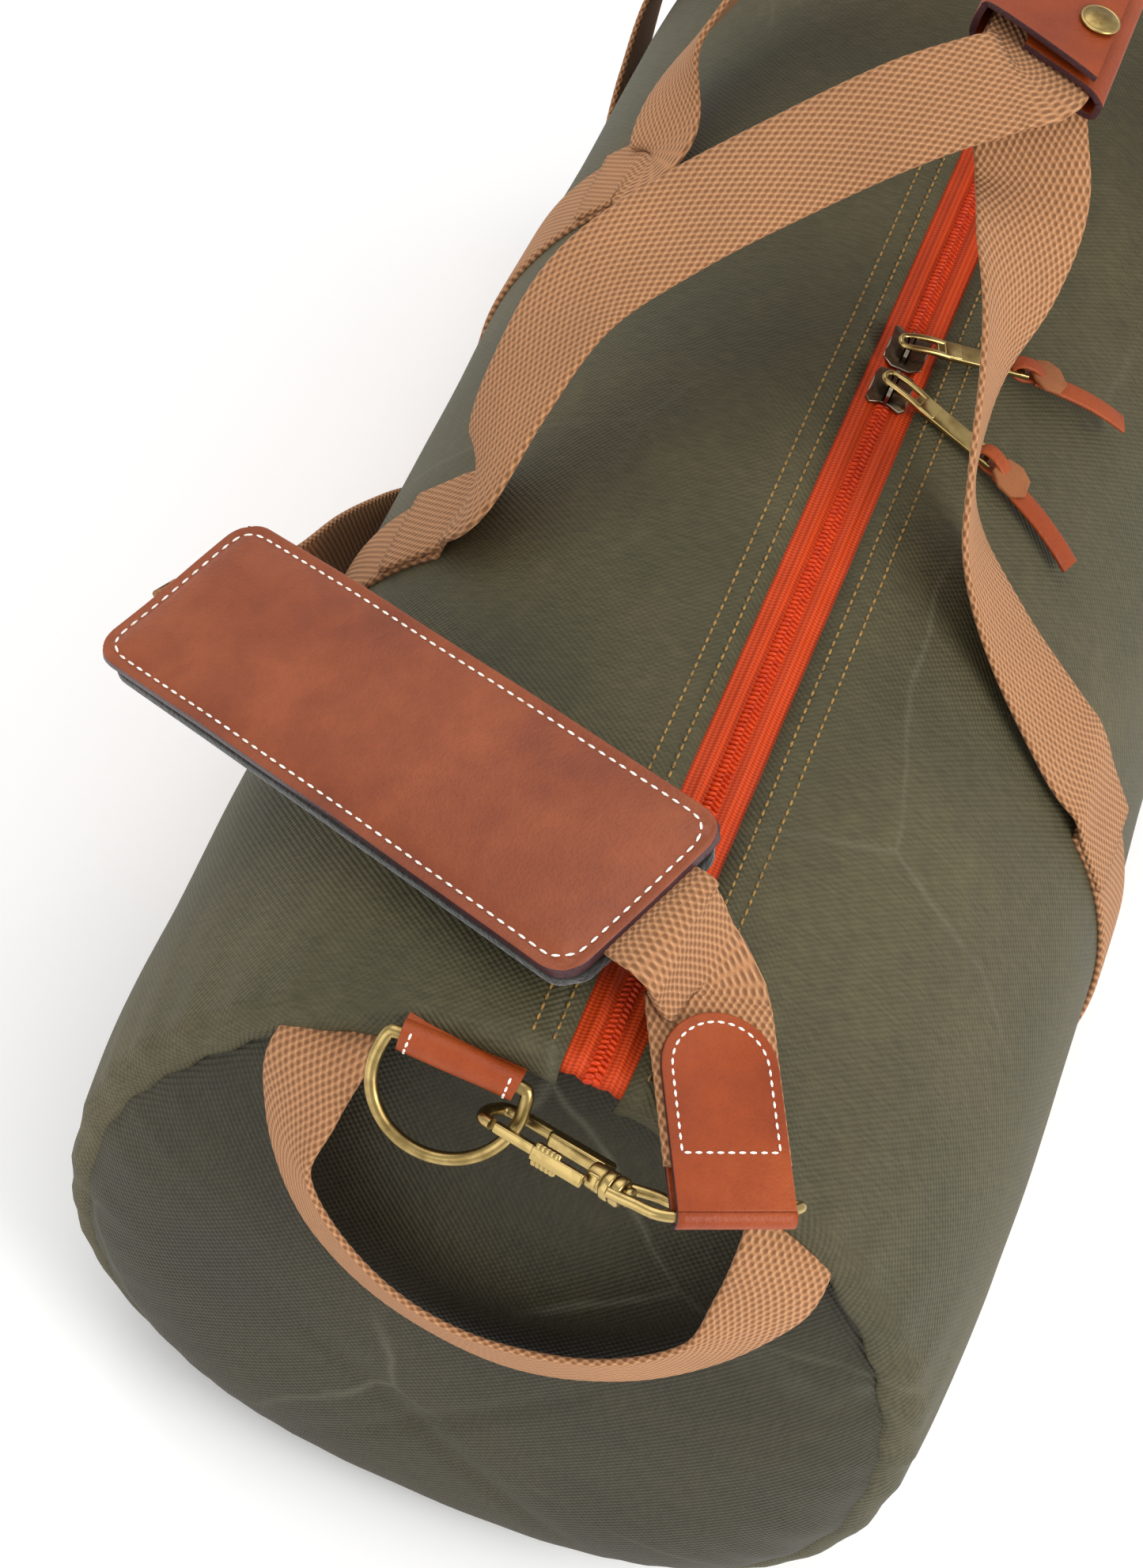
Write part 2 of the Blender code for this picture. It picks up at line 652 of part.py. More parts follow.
# ==== D-rings, hooks, tabs and the shoulder strap =============================
def ring_frame(side):
    """Centre of the ring's straight bar, and the ways across and down the ring."""
    centre = Vector((side * (SEAM + 0.0048), RING_Y, RING_Z))
    across = Vector((0, -1, 0))
    down = Vector((side * 0.55, 0, -0.835)).normalized()
    return centre, across, down


def ring_point(side, degrees):
    centre, across, down = ring_frame(side)
    turn = math.radians(degrees)
    return centre + across * RING_ARC * math.cos(turn) + down * (RING_DROP + RING_ARC * math.sin(turn))


def d_ring(side, name):
    centre, across, down = ring_frame(side)
    corner = 0.003
    path = [centre + across * s for s in (-RING_ARC + corner, -0.010, 0.0, 0.010, RING_ARC - corner)]
    path.append(centre + across * (RING_ARC - 0.0008) + down * 0.0012)
    path += [ring_point(side, a) for a in range(0, 181, 15)]
    path.append(centre - across * (RING_ARC - 0.0008) + down * 0.0012)
    wire(name, path, RING_WIRE, brass(), first_side=across.cross(down))


def d_ring_tab(side, name):
    """Leather folded round the ring's straight bar, its ends running into the seam."""
    centre, across, down = ring_frame(side)
    outer = circle(RING_WIRE + GAP + 0.0016, 16)
    inner = circle(RING_WIRE + GAP, 16)
    outer = [(max(a, -0.0045) if a > 0 else a, b) for a, b in outer]
    ring_prism(name, outer, inner, centre, (side, 0, 0), (0, 0, 1), TAB_WIDTH, leather(),
               start=-TAB_WIDTH / 2)


def frame_from(along, near_to):
    """A square set of directions: along, the part of near_to square to it, and the third."""
    along = Vector(along).normalized()
    out = Vector(near_to)
    out = (out - along * out.dot(along)).normalized()
    return along, out, along.cross(out)


def hook(end, window, along, out):
    """A snap hook: a J round the D-ring, a body, and a headed pin that its eye turns on."""
    along, out, third = frame_from(along, out)
    a, b, wall = HOOK_WINDOW, HOOK_REACH, HOOK_WALL
    gate = b + BOLT + 0.0004
    tail = a + 0.0195
    outline = [(a + 1e-3, b - 0.0003), (a, -b + 0.002), (a - 0.002, -b), (-a + 0.003, -b),
               (-a + 0.001, -b + 0.0015), (-a, -b + 0.0045), (-a, b - 0.004),
               (-a + 0.0015, b - 0.001), (-a + 0.0035, b), (-a + 0.0035, gate),
               (-a - 0.0005, b + 0.0018), (-a - wall, b - 0.003), (-a - wall, -b + 0.0035),
               (-a - wall + 0.0015, -b - 0.0005), (-a + 0.001, -b - wall),
               (a + 0.004, -b - wall), (a + 0.009, -b), (tail + 0.0005, -b + 0.001),
               (tail + 0.004, -0.001), (tail + 0.004, gate), (tail, gate), (tail, b - 0.0003)]
    body = prism("hook_" + end, outline, window, along, out, HOOK_THICK, brass(),
                 start=-HOOK_THICK / 2)
    axis = window + out * 0.0022
    neck = prism("hook_neck_" + end, circle(0.0017, 12), axis, out, third, 0.0120, brass(),
                 start=tail + 0.0015)
    head = prism("hook_head_" + end, circle(0.0029, 12), axis, out, third, 0.0020, brass(),
                 start=tail + 0.0115)
    combine(body, [neck, head], "UNION")
    bolt = box("hook_bolt_" + end, (-a + 0.0039, b, -0.0016), (a + 0.0140, b + BOLT, 0.0016),
               window, along, out, brass())
    thumb = box("bolt_thumb_" + end, (a + 0.0045, b + 0.0006, -0.0034),
                (a + 0.0115, b + BOLT + 0.0016, 0.0034), window, along, out, brass())
    combine(bolt, [thumb], "UNION")
    return axis, tail + 0.0047


def hook_eye(end, axis, along, out, reach, bar_centre, bar_along, below):
    """The eye: a collar that turns on the hook's pin, and a loop that passes through the tab."""
    along, out, third = frame_from(along, out)
    collar = ring_prism("hook_eye_" + end, circle(0.0042, 16), circle(0.0021, 16), axis, out, third,
                        0.0060, brass(), start=reach)
    root = axis + along * (reach + 0.0032)
    clear = 0.0048
    bar_along = Vector(bar_along).normalized()
    below = Vector(below).normalized()
    half = TAB_WIDTH / 2 + 0.0035
    first = bar_centre - bar_along * half
    last = bar_centre + bar_along * half
    drop = 0.0125
    start, finish = root + out * clear, root - out * clear
    low_first, low_last = first + below * drop, last + below * drop
    knots = [start, first * 0.45 + start * 0.55 + out * 0.001, first, bar_centre, last,
             last + bar_along * 0.0028 + below * drop * 0.5, low_last,
             bar_centre + below * drop, low_first, (low_first + finish) * 0.5, finish]
    loop = wire("eye_loop_" + end, smooth_path(knots, 3), EYE_WIRE, brass(), closed=False,
                first_side=below)
    combine(collar, [loop], "UNION")


def strap_tab(end, bar_centre, along, out, length=0.058):
    """Leather folded round the eye's bar and closed on the strap's end."""
    along, out, third = frame_from(along, out)
    inner = circle(EYE_WIRE + 0.0005, 16)
    outer = circle(EYE_WIRE + 0.0005 + LEATHER, 16)
    tab = ring_prism("strap_tab_" + end, outer, inner, bar_centre, along, out, TAB_WIDTH,
                     leather(), start=-TAB_WIDTH / 2)
    half = TAB_WIDTH / 2
    tip = length - 0.012
    outline = [(0.0030, -half), (tip, -half), (tip + 0.0085, -half * 0.72),
               (length, -half * 0.25), (length, half * 0.25), (tip + 0.0085, half * 0.72),
               (tip, half), (0.0030, half)]
    slab = prism("tab_slab_" + end, outline, bar_centre, along, third, 0.0040, leather(),
                 start=-0.0020)
    combine(tab, [slab], "UNION")
    return bar_centre + along * length


def strap_end(side, end):
    """Hook, eye and tab at one end of the strap; gives the tab's tip, its way and its face."""
    def turned(x, y, z):
        return Vector((-side * x, y, z))

    hook_along = turned(-0.293, -0.922, 0.255)
    ring_out = turned(-0.835, 0, 0.55)
    axis, reach = hook(end, ring_point(side, 8), hook_along, ring_out)
    bar = ring_frame(side)[0] + turned(-0.0137, -0.084, 0.0)
    bar.z = outline_point(0.0, angle_at(bar.y)).z + EYE_RISE
    way = turned(0.0575, 0.0310, 0.0120).normalized()
    face = turned(-0.15, -0.12, 0.98)
    along, out, third = frame_from(way, face)
    across = third if third.y < 0 else -third
    hook_eye(end, axis, hook_along, ring_out, reach, bar, across, -out)
    return strap_tab(end, bar, way, face), way, face


def pad_frame(near):
    """The pad's middle and its ways along, out and across, from the near tab's tip."""
    start = near[0] + Vector((0.0098, 0.0259, 0.0185))
    drop = min((start.z - PAD_REST - outline_point(0.0, angle_at(y)).z) / (y - start.y)
               for y in spread(start.y + 0.020, WIDTH / 2 - 0.001, 60))
    along, out, across = frame_from((0.446, 0.825, -0.825 * drop), (-0.12, 0.36, 0.92))
    return start + along * PAD_LENGTH / 2, along, out, across


def pad(near):
    """Leather above the strap and felt below it, as long as the pad is."""
    middle, along, out, across = pad_frame(near)
    half, wide, corner = PAD_LENGTH / 2, PAD_WIDTH / 2, 0.009
    bite = corner * 0.3
    outline = [(-half, -wide + corner), (-half + bite, -wide + bite), (-half + corner, -wide),
               (half - corner, -wide), (half - bite, -wide + bite), (half, -wide + corner),
               (half, wide - corner), (half - bite, wide - bite), (half - corner, wide),
               (-half + corner, wide), (-half + bite, wide - bite), (-half, wide - corner)]
    step = WEBBING / 2 + 3 * GAP
    prism("pad_leather", outline, middle, along, across, 0.0042, leather(), start=-step - 0.0042)
    smaller = [(a * 0.975, b * 0.93) for a, b in outline]
    prism("pad_felt", smaller, middle, along, across, 0.0038,
          material("felt", (0.012, 0.012, 0.010), 0.95), start=step)


def strap_webbing(near, far):
    """The strap's webbing: near tab, through the pad, along the left side, far tab."""
    (near_tip, near_way, near_face), (far_tip, far_way, far_face) = near, far
    middle, along, out, across = pad_frame(near)
    half = PAD_LENGTH / 2
    end = middle + along * half
    start = middle - along * half
    route = [(near_tip + near_way * 0.0045, near_face),
             (near_tip + near_way * 0.0085, (-0.15, -0.35, 0.92)),
             ((near_tip + near_way * 0.0095) * 0.5 + (start - along * 0.009) * 0.5,
              (-0.25, -0.75, 0.6)),
             (start - along * 0.0105 - out * 0.0020, (-0.25, -0.25, 0.93))]
    route += [(middle + along * half * share, out)
              for share in (-1.06, -1.01, -0.95, -0.3, 0.2, 0.7, 0.95, 1.0, 1.05)]
    route += [(end + along * 0.0095 - out * 0.0045, along * 0.75 + out * 0.65),
              (end + along * 0.0115 - out * 0.0125, along),
              (end + along * 0.0080 - out * 0.0200, along * 0.5 - out * 0.85)]
    route += [
        (share_point(-0.500, 1.186, 0.684), (-0.3, 0.6, -0.7)),
        (share_point(-0.427, 1.129, 0.625), (-0.35, 0.85, -0.4)),
        (share_point(-0.333, 1.107, 0.560), (-0.2, 0.97, -0.1)),
        (share_point(-0.200, 1.080, 0.480), (-0.05, 1.0, -0.1)),
        (share_point(-0.067, 1.030, 0.380), (0, 0.98, -0.2)),
        (share_point(0.067, 0.975, 0.270), (0, 0.95, -0.3)),
        (share_point(0.200, 0.945, 0.195), (0, 0.93, -0.36)),
        (share_point(0.340, 0.940, 0.175), (0, 0.93, -0.37)),
        (share_point(0.520, 0.940, 0.175), (0, 0.93, -0.37)),
        (share_point(0.690, 0.945, 0.190), (0, 0.93, -0.36)),
        (share_point(0.810, 0.985, 0.270), (0.05, 0.96, -0.28)),
        (share_point(0.880, 1.035, 0.410), (0.05, 0.99, -0.1)),
        (share_point(0.912, 1.040, 0.590), (0.05, 0.97, 0.2)),
        (share_point(0.918, 0.930, 0.770), (0.05, 0.85, 0.5)),
        (share_point(0.897, 0.690, 0.915), (0.08, 0.6, 0.8)),
        (share_point(0.872, 0.390, 1.010), (0.1, 0.3, 0.95)),
        (share_point(0.850, 0.110, 1.047), (0.15, 0.0, 1.0)),
    ]
    route += [(far_tip + far_way * reach, far_face) for reach in (0.0110, 0.0034)]
    knots = [Vector(point) for point, face in route]
    facing = [Vector(face).normalized() for point, face in route]
    ribbon("strap_webbing", knots, facing, WEBBING_WIDTH * 0.97, WEBBING, webbing(), per_span=4)


def clear_scene():
    for thing in list(bpy.data.objects):
        bpy.data.objects.remove(thing, do_unlink=True)


def build():
    clear_scene()
    main_panel()
    lining()
    inner_pocket()
    base_board()
    zip_halves()
    for side, end in ((-1, "near"), (1, "far")):
        end_panel(side, "end_panel_" + end)
        seam_binding(side, "seam_binding_" + end)
        band(side, "band_" + end)
        end_handle(side, "end_handle_" + end)
        d_ring(side, "d_ring_" + end)
        d_ring_tab(side, "d_ring_tab_" + end)
        place = side * (SLIDER_LENGTH / 2 + 0.0008)
        pivot = slider("zip_slider_" + end, place)
        yaw = math.radians(17 if side < 0 else -20)
        dip = resting_dip(pivot, yaw, LINK_LENGTH, LINK_CLEAR)
        tip, along, up = pull_link("pull_link_" + end, pivot, yaw, dip)
        more = resting_dip(tip, yaw, PULL_TAIL, PULL_CLEAR) - dip
        leather_pull("leather_pull_" + end, tip, along, up, -more)
    handles()
    grip()
    near, far = strap_end(-1, "near"), strap_end(1, "far")
    pad(near)
    strap_webbing(near, far)


build()
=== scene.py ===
# %% [markdown]
# # A waxed canvas duffel bag
# This lesson dresses a fixed frame, the bag's hard and load-carrying pieces, with what the eye
# sees: waxed canvas, woven webbing, saddle leather, stitching, a coil zip and antiqued brass.
# Everything is in metres, with +X along the bag, +Y to its left side and the floor at z = 0.

# %% Load the frame
import math

import bmesh
import bpy
from mathutils import Matrix, Vector, noise


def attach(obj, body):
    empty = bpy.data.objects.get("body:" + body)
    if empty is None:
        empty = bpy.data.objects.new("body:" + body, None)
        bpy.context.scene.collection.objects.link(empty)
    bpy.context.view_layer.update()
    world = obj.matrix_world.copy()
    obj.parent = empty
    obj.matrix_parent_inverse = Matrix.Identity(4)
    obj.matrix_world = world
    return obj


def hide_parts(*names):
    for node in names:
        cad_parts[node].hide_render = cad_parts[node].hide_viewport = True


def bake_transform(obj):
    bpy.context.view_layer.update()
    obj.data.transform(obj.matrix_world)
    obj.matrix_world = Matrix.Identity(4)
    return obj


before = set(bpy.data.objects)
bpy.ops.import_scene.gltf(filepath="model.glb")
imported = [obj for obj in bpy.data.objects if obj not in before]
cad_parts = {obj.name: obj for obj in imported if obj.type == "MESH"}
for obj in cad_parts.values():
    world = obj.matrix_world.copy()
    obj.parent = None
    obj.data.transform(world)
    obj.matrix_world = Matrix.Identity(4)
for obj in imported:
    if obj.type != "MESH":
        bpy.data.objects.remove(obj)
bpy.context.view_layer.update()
print("frame nodes:", len(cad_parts))

# %% [markdown]
# The camera looks down on the near end from 51 degrees up, rolled so that the bag runs across
# the picture. A long lens keeps the far end from shrinking too fast.

# %% Camera
CAMERA_TARGET = Vector((-0.110, 0.043, 0.130))
CAMERA_TURN, CAMERA_RISE, CAMERA_ROLL = (math.radians(a) for a in (2.3, 51.3, 22.2))
CAMERA_DISTANCE = 1.151
towards = Vector((-math.cos(CAMERA_RISE) * math.cos(CAMERA_TURN),
                  -math.cos(CAMERA_RISE) * math.sin(CAMERA_TURN), math.sin(CAMERA_RISE)))
camera_data = bpy.data.cameras.new("camera")
camera_data.lens = 79.74
camera_data.sensor_width = 36
camera = bpy.data.objects.new("camera", camera_data)
turned = towards.to_track_quat("Z", "Y").to_matrix() @ Matrix.Rotation(CAMERA_ROLL, 3, "Z")
camera.matrix_world = Matrix.Translation(CAMERA_TARGET + towards * CAMERA_DISTANCE) @ turned.to_4x4()
bpy.context.scene.collection.objects.link(camera)
bpy.context.scene.camera = camera
print("camera up:", [round(v, 3) for v in turned.col[1]])

# %% [markdown]
# Studio light: a wide soft box on the bag's right side does the modelling, one from above and
# one that faces the near end lift the shadows, and a pale room fills the rest.

# %% Lights, room and floor
def soft_box(name, place, aim, size, power):
    """A square area light at place, turned to face aim."""
    data = bpy.data.lights.new(name, "AREA")
    data.energy = power
    data.size = size
    made = bpy.data.objects.new(name, data)
    bpy.context.scene.collection.objects.link(made)
    away = (Vector(place) - Vector(aim)).to_track_quat("Z", "Y")
    made.matrix_world = Matrix.Translation(place) @ away.to_matrix().to_4x4()
    return made


soft_box("key_light", (-0.75, -1.45, 1.15), (0, 0, 0.12), 1.1, 26)
soft_box("top_light", (0.5, 0.5, 1.9), (0, 0, 0.1), 1.6, 14)
soft_box("fill_light", (-1.45, 0.75, 0.70), (-0.3, 0, 0.15), 1.3, 8)
room = bpy.data.worlds.new("room")
room.use_nodes = True
room.node_tree.nodes["Background"].inputs["Color"].default_value = (1, 1, 1, 1)
room.node_tree.nodes["Background"].inputs["Strength"].default_value = 0.80
bpy.context.scene.world = room
bpy.context.scene.view_settings.view_transform = "Standard"


# %% [markdown]
# Each finish is a node material. One helper turns a colour's hex value to linear light, and
# one adds a node with its settings and its links, so that a material reads from top to bottom.

# %% Material helpers
def linear(code):
    """The linear colour of an sRGB hex value."""
    parts = [int(code[i:i + 2], 16) / 255 for i in (1, 3, 5)]
    return (*[p / 12.92 if p <= 0.04045 else ((p + 0.055) / 1.055) ** 2.4 for p in parts], 1.0)


def add(tree, kind, inputs=None, stops=None, **settings):
    """Adds a node: settings are its own properties, inputs its sockets' values or links."""
    made = tree.nodes.new("ShaderNode" + kind)
    for key, value in settings.items():
        setattr(made, key, value)
    for key, value in (inputs or {}).items():
        if isinstance(value, bpy.types.NodeSocket):
            tree.links.new(value, made.inputs[key])
        else:
            made.inputs[key].default_value = value
    if stops:
        ramp = made.color_ramp.elements
        while len(ramp) < len(stops):
            ramp.new(0.5)
        for element, (place, colour) in zip(ramp, stops):
            element.position = place
            element.color = linear(colour) if isinstance(colour, str) else (*[colour] * 3, 1)
    return made


def blank(name, **sockets):
    """An empty material and its Principled shader, with constant sockets set on the shader."""
    made = bpy.data.materials.new(name)
    made.use_nodes = True
    shader = made.node_tree.nodes["Principled BSDF"]
    for key, value in sockets.items():
        shader.inputs[key.replace("_", " ").title()].default_value = value
    if "metallic" not in sockets:
        shader.inputs["Specular IOR Level"].default_value = 0.26
    return made, made.node_tree, shader


# %% Floor
floor_paper, tree, shader = blank("pale_paper", roughness=0.9)
mottle = add(tree, "TexNoise", {"Vector": add(tree, "TexCoord").outputs["Object"], "Scale": 3.0})
shade = add(tree, "ValToRGB", {"Fac": mottle.outputs["Fac"]}, [(0.3, "#fcfcfb"), (0.7, "#ffffff")])
tree.links.new(shade.outputs["Color"], shader.inputs["Base Color"])
shape = bmesh.new()
bmesh.ops.create_grid(shape, x_segments=4, y_segments=4, size=6.0)
floor_mesh = bpy.data.meshes.new("floor")
shape.to_mesh(floor_mesh)
shape.free()
floor_mesh.materials.append(floor_paper)
floor = bpy.data.objects.new("floor", floor_mesh)
bpy.context.scene.collection.objects.link(floor)
print("stage set")

# %% [markdown]
# ## Waxed canvas
# The shell is cotton duck soaked in wax. Wax darkens the cloth to an uneven olive, makes it
# slightly shiny, and turns chalky wherever the cloth has been creased. The weave of the real
# cloth is about 0.6 mm; it is drawn at 1.1 mm so that it still shows at arm's length.

# %% Waxed canvas
THREAD = 0.0011


def weave(tree, laid, along, across):
    """Plain weave height: rounded floats, staggered like bricks, from laid-flat coordinates."""
    apart = add(tree, "SeparateXYZ", {"Vector": laid})
    waves = []
    for socket, period in (("X", along), ("Y", across)):
        turn = add(tree, "Math", {0: apart.outputs[socket], 1: math.tau / period}, operation="MULTIPLY")
        waves.append(add(tree, "Math", {0: turn.outputs[0]}, operation="COSINE").outputs[0])
    return add(tree, "Math", {0: waves[0], 1: waves[1]}, operation="MULTIPLY").outputs[0]


def waxed_canvas(name, tint_low, tint_mid, tint_high, crease=0.20):
    made, tree, shader = blank(name, roughness=0.62, sheen_weight=0.06, sheen_roughness=0.5)
    shader.inputs["Sheen Tint"].default_value = linear("#b9b293")
    laid = add(tree, "UVMap", uv_map="laid").outputs["UV"]
    place = add(tree, "TexCoord").outputs["Object"]
    broad = add(tree, "TexNoise", {"Vector": place, "Scale": 9.0, "Detail": 5.0, "Roughness": 0.62})
    tint = add(tree, "ValToRGB", {"Fac": broad.outputs["Fac"]},
               [(0.30, tint_low), (0.50, tint_mid), (0.72, tint_high)])
    drawn = add(tree, "Mapping", {"Vector": laid, "Scale": (900, 160, 1)}).outputs[0]
    slub = add(tree, "TexNoise", {"Vector": drawn, "Scale": 1.0, "Detail": 2.0})
    fleck = add(tree, "ValToRGB", {"Fac": slub.outputs["Fac"]}, [(0.32, 0.78), (0.68, 1.22)])
    flecked = add(tree, "Mix", {"Factor": 0.8, "A": tint.outputs["Color"], "B": fleck.outputs["Color"]},
                  data_type="RGBA", blend_type="MULTIPLY")
    flecked.inputs[6].default_value = (1, 1, 1, 1)
    tree.links.new(tint.outputs["Color"], flecked.inputs[6])
    tree.links.new(fleck.outputs["Color"], flecked.inputs[7])
    # chalky crease marks: the thin edges between cells of a stretched, wobbled cell pattern
    wobble = add(tree, "TexNoise", {"Vector": place, "Scale": 7.0, "Detail": 4.0})
    slight = add(tree, "VectorMath", {0: wobble.outputs["Color"], 1: (0.05, 0.05, 0.05)},
                 operation="MULTIPLY")
    bent = add(tree, "VectorMath", {0: place, 1: slight.outputs[0]}, operation="ADD")
    cells = add(tree, "TexVoronoi", {"Vector": bent.outputs[0], "Scale": 6.5}, feature="DISTANCE_TO_EDGE")
    line = add(tree, "ValToRGB", {"Fac": cells.outputs["Distance"]}, [(0.0, 1.0), (0.011, 0.0)])
    where = add(tree, "TexNoise", {"Vector": place, "Scale": 11.0, "Detail": 6.0})
    patch = add(tree, "ValToRGB", {"Fac": where.outputs["Fac"]}, [(0.46, 0.0), (0.70, 1.0)])
    chalk = add(tree, "Math", {0: line.outputs["Color"], 1: patch.outputs["Color"]}, operation="MULTIPLY")
    chalk = add(tree, "Math", {0: chalk.outputs[0], 1: crease}, operation="MULTIPLY")
    whole = add(tree, "Mix", {0: chalk.outputs[0]}, data_type="RGBA")
    tree.links.new(flecked.outputs[2], whole.inputs[6])
    whole.inputs[7].default_value = linear("#7d7a68")
    tree.links.new(whole.outputs[2], shader.inputs["Base Color"])
    rough = add(tree, "MapRange", {"Value": broad.outputs["Fac"], "To Min": 0.50, "To Max": 0.74})
    tree.links.new(rough.outputs[0], shader.inputs["Roughness"])
    knit = weave(tree, laid, THREAD * 2, THREAD * 2)
    fine = add(tree, "Bump", {"Height": knit, "Strength": 0.75, "Distance": 0.0003})
    soft = add(tree, "Bump", {"Height": broad.outputs["Fac"], "Strength": 0.30, "Distance": 0.004,
                              "Normal": fine.outputs[0]})
    tree.links.new(soft.outputs[0], shader.inputs["Normal"])
    return made


CANVAS_BODY = waxed_canvas("waxed_canvas", "#3b3824", "#46412b", "#534c34")
# End panels: the same canvas with more chalky crease marks and a darker tint, which is painted shade on the
# ends.
CANVAS_END_SHADED = waxed_canvas("waxed_canvas_creased_shaded", "#262317", "#2f2b1d", "#393424", crease=0.34)

# %% [markdown]
# ## Cotton webbing
# The handles, bands and strap are heavy cotton webbing, 38 mm wide. Its thick warp threads
# float in staggered ovals about 2 mm long, thirty across the width, which is the texture
# that catches the light.

# %% Webbing, thread and felt
FLOAT_LONG, FLOAT_WIDE = 0.0040, 0.0025


def cotton_webbing(name, dark, mid, light):
    made, tree, shader = blank(name, roughness=0.88, sheen_weight=0.12, sheen_roughness=0.6)
    shader.inputs["Sheen Tint"].default_value = linear("#e8cdb4")
    laid = add(tree, "UVMap", uv_map="laid").outputs["UV"]
    height = weave(tree, laid, FLOAT_LONG, FLOAT_WIDE)
    lift = add(tree, "MapRange", {"Value": height, "From Min": -0.75, "From Max": 0.8})
    tone = add(tree, "ValToRGB", {"Fac": lift.outputs[0]}, [(0.0, dark), (0.35, mid), (0.95, light)])
    place = add(tree, "TexCoord").outputs["Object"]
    worn = add(tree, "TexNoise", {"Vector": place, "Scale": 22.0, "Detail": 6.0})
    fuzz = add(tree, "TexNoise", {"Vector": place, "Scale": 1400.0, "Detail": 1.0})
    both = add(tree, "Math", {0: worn.outputs["Fac"], 1: fuzz.outputs["Fac"]}, operation="ADD")
    vary = add(tree, "MapRange", {"Value": both.outputs[0], "From Min": 0.6, "From Max": 1.4,
                                  "To Min": 0.84, "To Max": 1.14})
    whole = add(tree, "Mix", {0: 1.0}, data_type="RGBA", blend_type="MULTIPLY")
    tree.links.new(tone.outputs["Color"], whole.inputs[6])
    tree.links.new(vary.outputs[0], whole.inputs[7])
    tree.links.new(whole.outputs[2], shader.inputs["Base Color"])
    deep = add(tree, "Bump", {"Height": lift.outputs[0], "Strength": 0.9, "Distance": 0.0009})
    hair = add(tree, "Bump", {"Height": fuzz.outputs["Fac"], "Strength": 0.25, "Distance": 0.0004,
                              "Normal": deep.outputs[0]})
    tree.links.new(hair.outputs[0], shader.inputs["Normal"])
    return made


WEBBING = cotton_webbing("cotton_webbing", "#7a5031", "#9f6e47", "#ba8860")


def spun_thread(name, dark, light):
    """Bonded sewing thread: a slight twist and a waxy sheen."""
    made, tree, shader = blank(name, roughness=0.55, sheen_weight=0.2)
    place = add(tree, "TexCoord").outputs["Object"]
    twist = add(tree, "TexNoise", {"Vector": place, "Scale": 900.0, "Detail": 1.0})
    tone = add(tree, "ValToRGB", {"Fac": twist.outputs["Fac"]}, [(0.35, dark), (0.65, light)])
    tree.links.new(tone.outputs["Color"], shader.inputs["Base Color"])
    bump = add(tree, "Bump", {"Height": twist.outputs["Fac"], "Strength": 0.4, "Distance": 0.0002})
    tree.links.new(bump.outputs[0], shader.inputs["Normal"])
    return made


TAN_THREAD = spun_thread("tan_thread", "#75551f", "#a17a38")
WHITE_THREAD = spun_thread("white_thread", "#d6cabc", "#fffaf2")


def pressed_felt():
    """Black wool felt: matt, with a lift of loose fibres."""
    made, tree, shader = blank("pressed_felt", roughness=0.97, sheen_weight=0.5)
    place = add(tree, "TexCoord").outputs["Object"]
    fibre = add(tree, "TexNoise", {"Vector": place, "Scale": 650.0, "Detail": 4.0})
    tone = add(tree, "ValToRGB", {"Fac": fibre.outputs["Fac"]}, [(0.3, "#101110"), (0.7, "#2b2c28")])
    tree.links.new(tone.outputs["Color"], shader.inputs["Base Color"])
    bump = add(tree, "Bump", {"Height": fibre.outputs["Fac"], "Strength": 0.8, "Distance": 0.0008})
    tree.links.new(bump.outputs[0], shader.inputs["Normal"])
    return made


FELT = pressed_felt()

# %% [markdown]
# ## Leather
# Vegetable-tanned cowhide: an orange-tan face with fine pores, cloudy where it has taken oil,
# and dark burnished cut edges, their purple-brown tint a painted sheen. The face and the edge
# are two materials on one piece, so each keeps its own gloss.

# %% Leather
PORE = 0.0011


def tanned_hide(name, dark, mid, light, rough=0.46):
    made, tree, shader = blank(name, roughness=rough, coat_weight=0.06, coat_roughness=0.35)
    place = add(tree, "TexCoord").outputs["Object"]
    cloud = add(tree, "TexNoise", {"Vector": place, "Scale": 26.0, "Detail": 7.0, "Roughness": 0.65})
    tone = add(tree, "ValToRGB", {"Fac": cloud.outputs["Fac"]}, [(0.28, dark), (0.50, mid), (0.74, light)])
    pores = add(tree, "TexVoronoi", {"Vector": place, "Scale": 1 / PORE, "Randomness": 1.0})
    pit = add(tree, "MapRange", {"Value": pores.outputs["Distance"], "From Min": 0.0, "From Max": 0.42,
                                 "To Min": 0.86, "To Max": 1.03})
    whole = add(tree, "Mix", {0: 1.0}, data_type="RGBA", blend_type="MULTIPLY")
    tree.links.new(tone.outputs["Color"], whole.inputs[6])
    tree.links.new(pit.outputs[0], whole.inputs[7])
    tree.links.new(whole.outputs[2], shader.inputs["Base Color"])
    gloss = add(tree, "MapRange", {"Value": cloud.outputs["Fac"],
                                   "To Min": rough - 0.10, "To Max": rough + 0.12})
    tree.links.new(gloss.outputs[0], shader.inputs["Roughness"])
    grain = add(tree, "Bump", {"Height": pores.outputs["Distance"], "Strength": 0.32, "Distance": 0.0004})
    soft = add(tree, "Bump", {"Height": cloud.outputs["Fac"], "Strength": 0.35, "Distance": 0.0012,
                              "Normal": grain.outputs[0]})
    tree.links.new(soft.outputs[0], shader.inputs["Normal"])
    return made


HIDE = tanned_hide("tanned_hide", "#742c0c", "#87370e", "#984619")
PAD_HIDE = tanned_hide("tanned_hide_oiled", "#6d331c", "#803e21", "#924c2b", rough=0.42)
SUEDE = tanned_hide("flesh_side", "#6d3d20", "#824d2b", "#935d38", rough=0.8)
# The edge colour is the leather's own dark brown with a purple tint, which is a painted sheen.
EDGE = tanned_hide("burnished_edge_painted_sheen", "#2f181b", "#3d2326", "#52363a", rough=0.36)

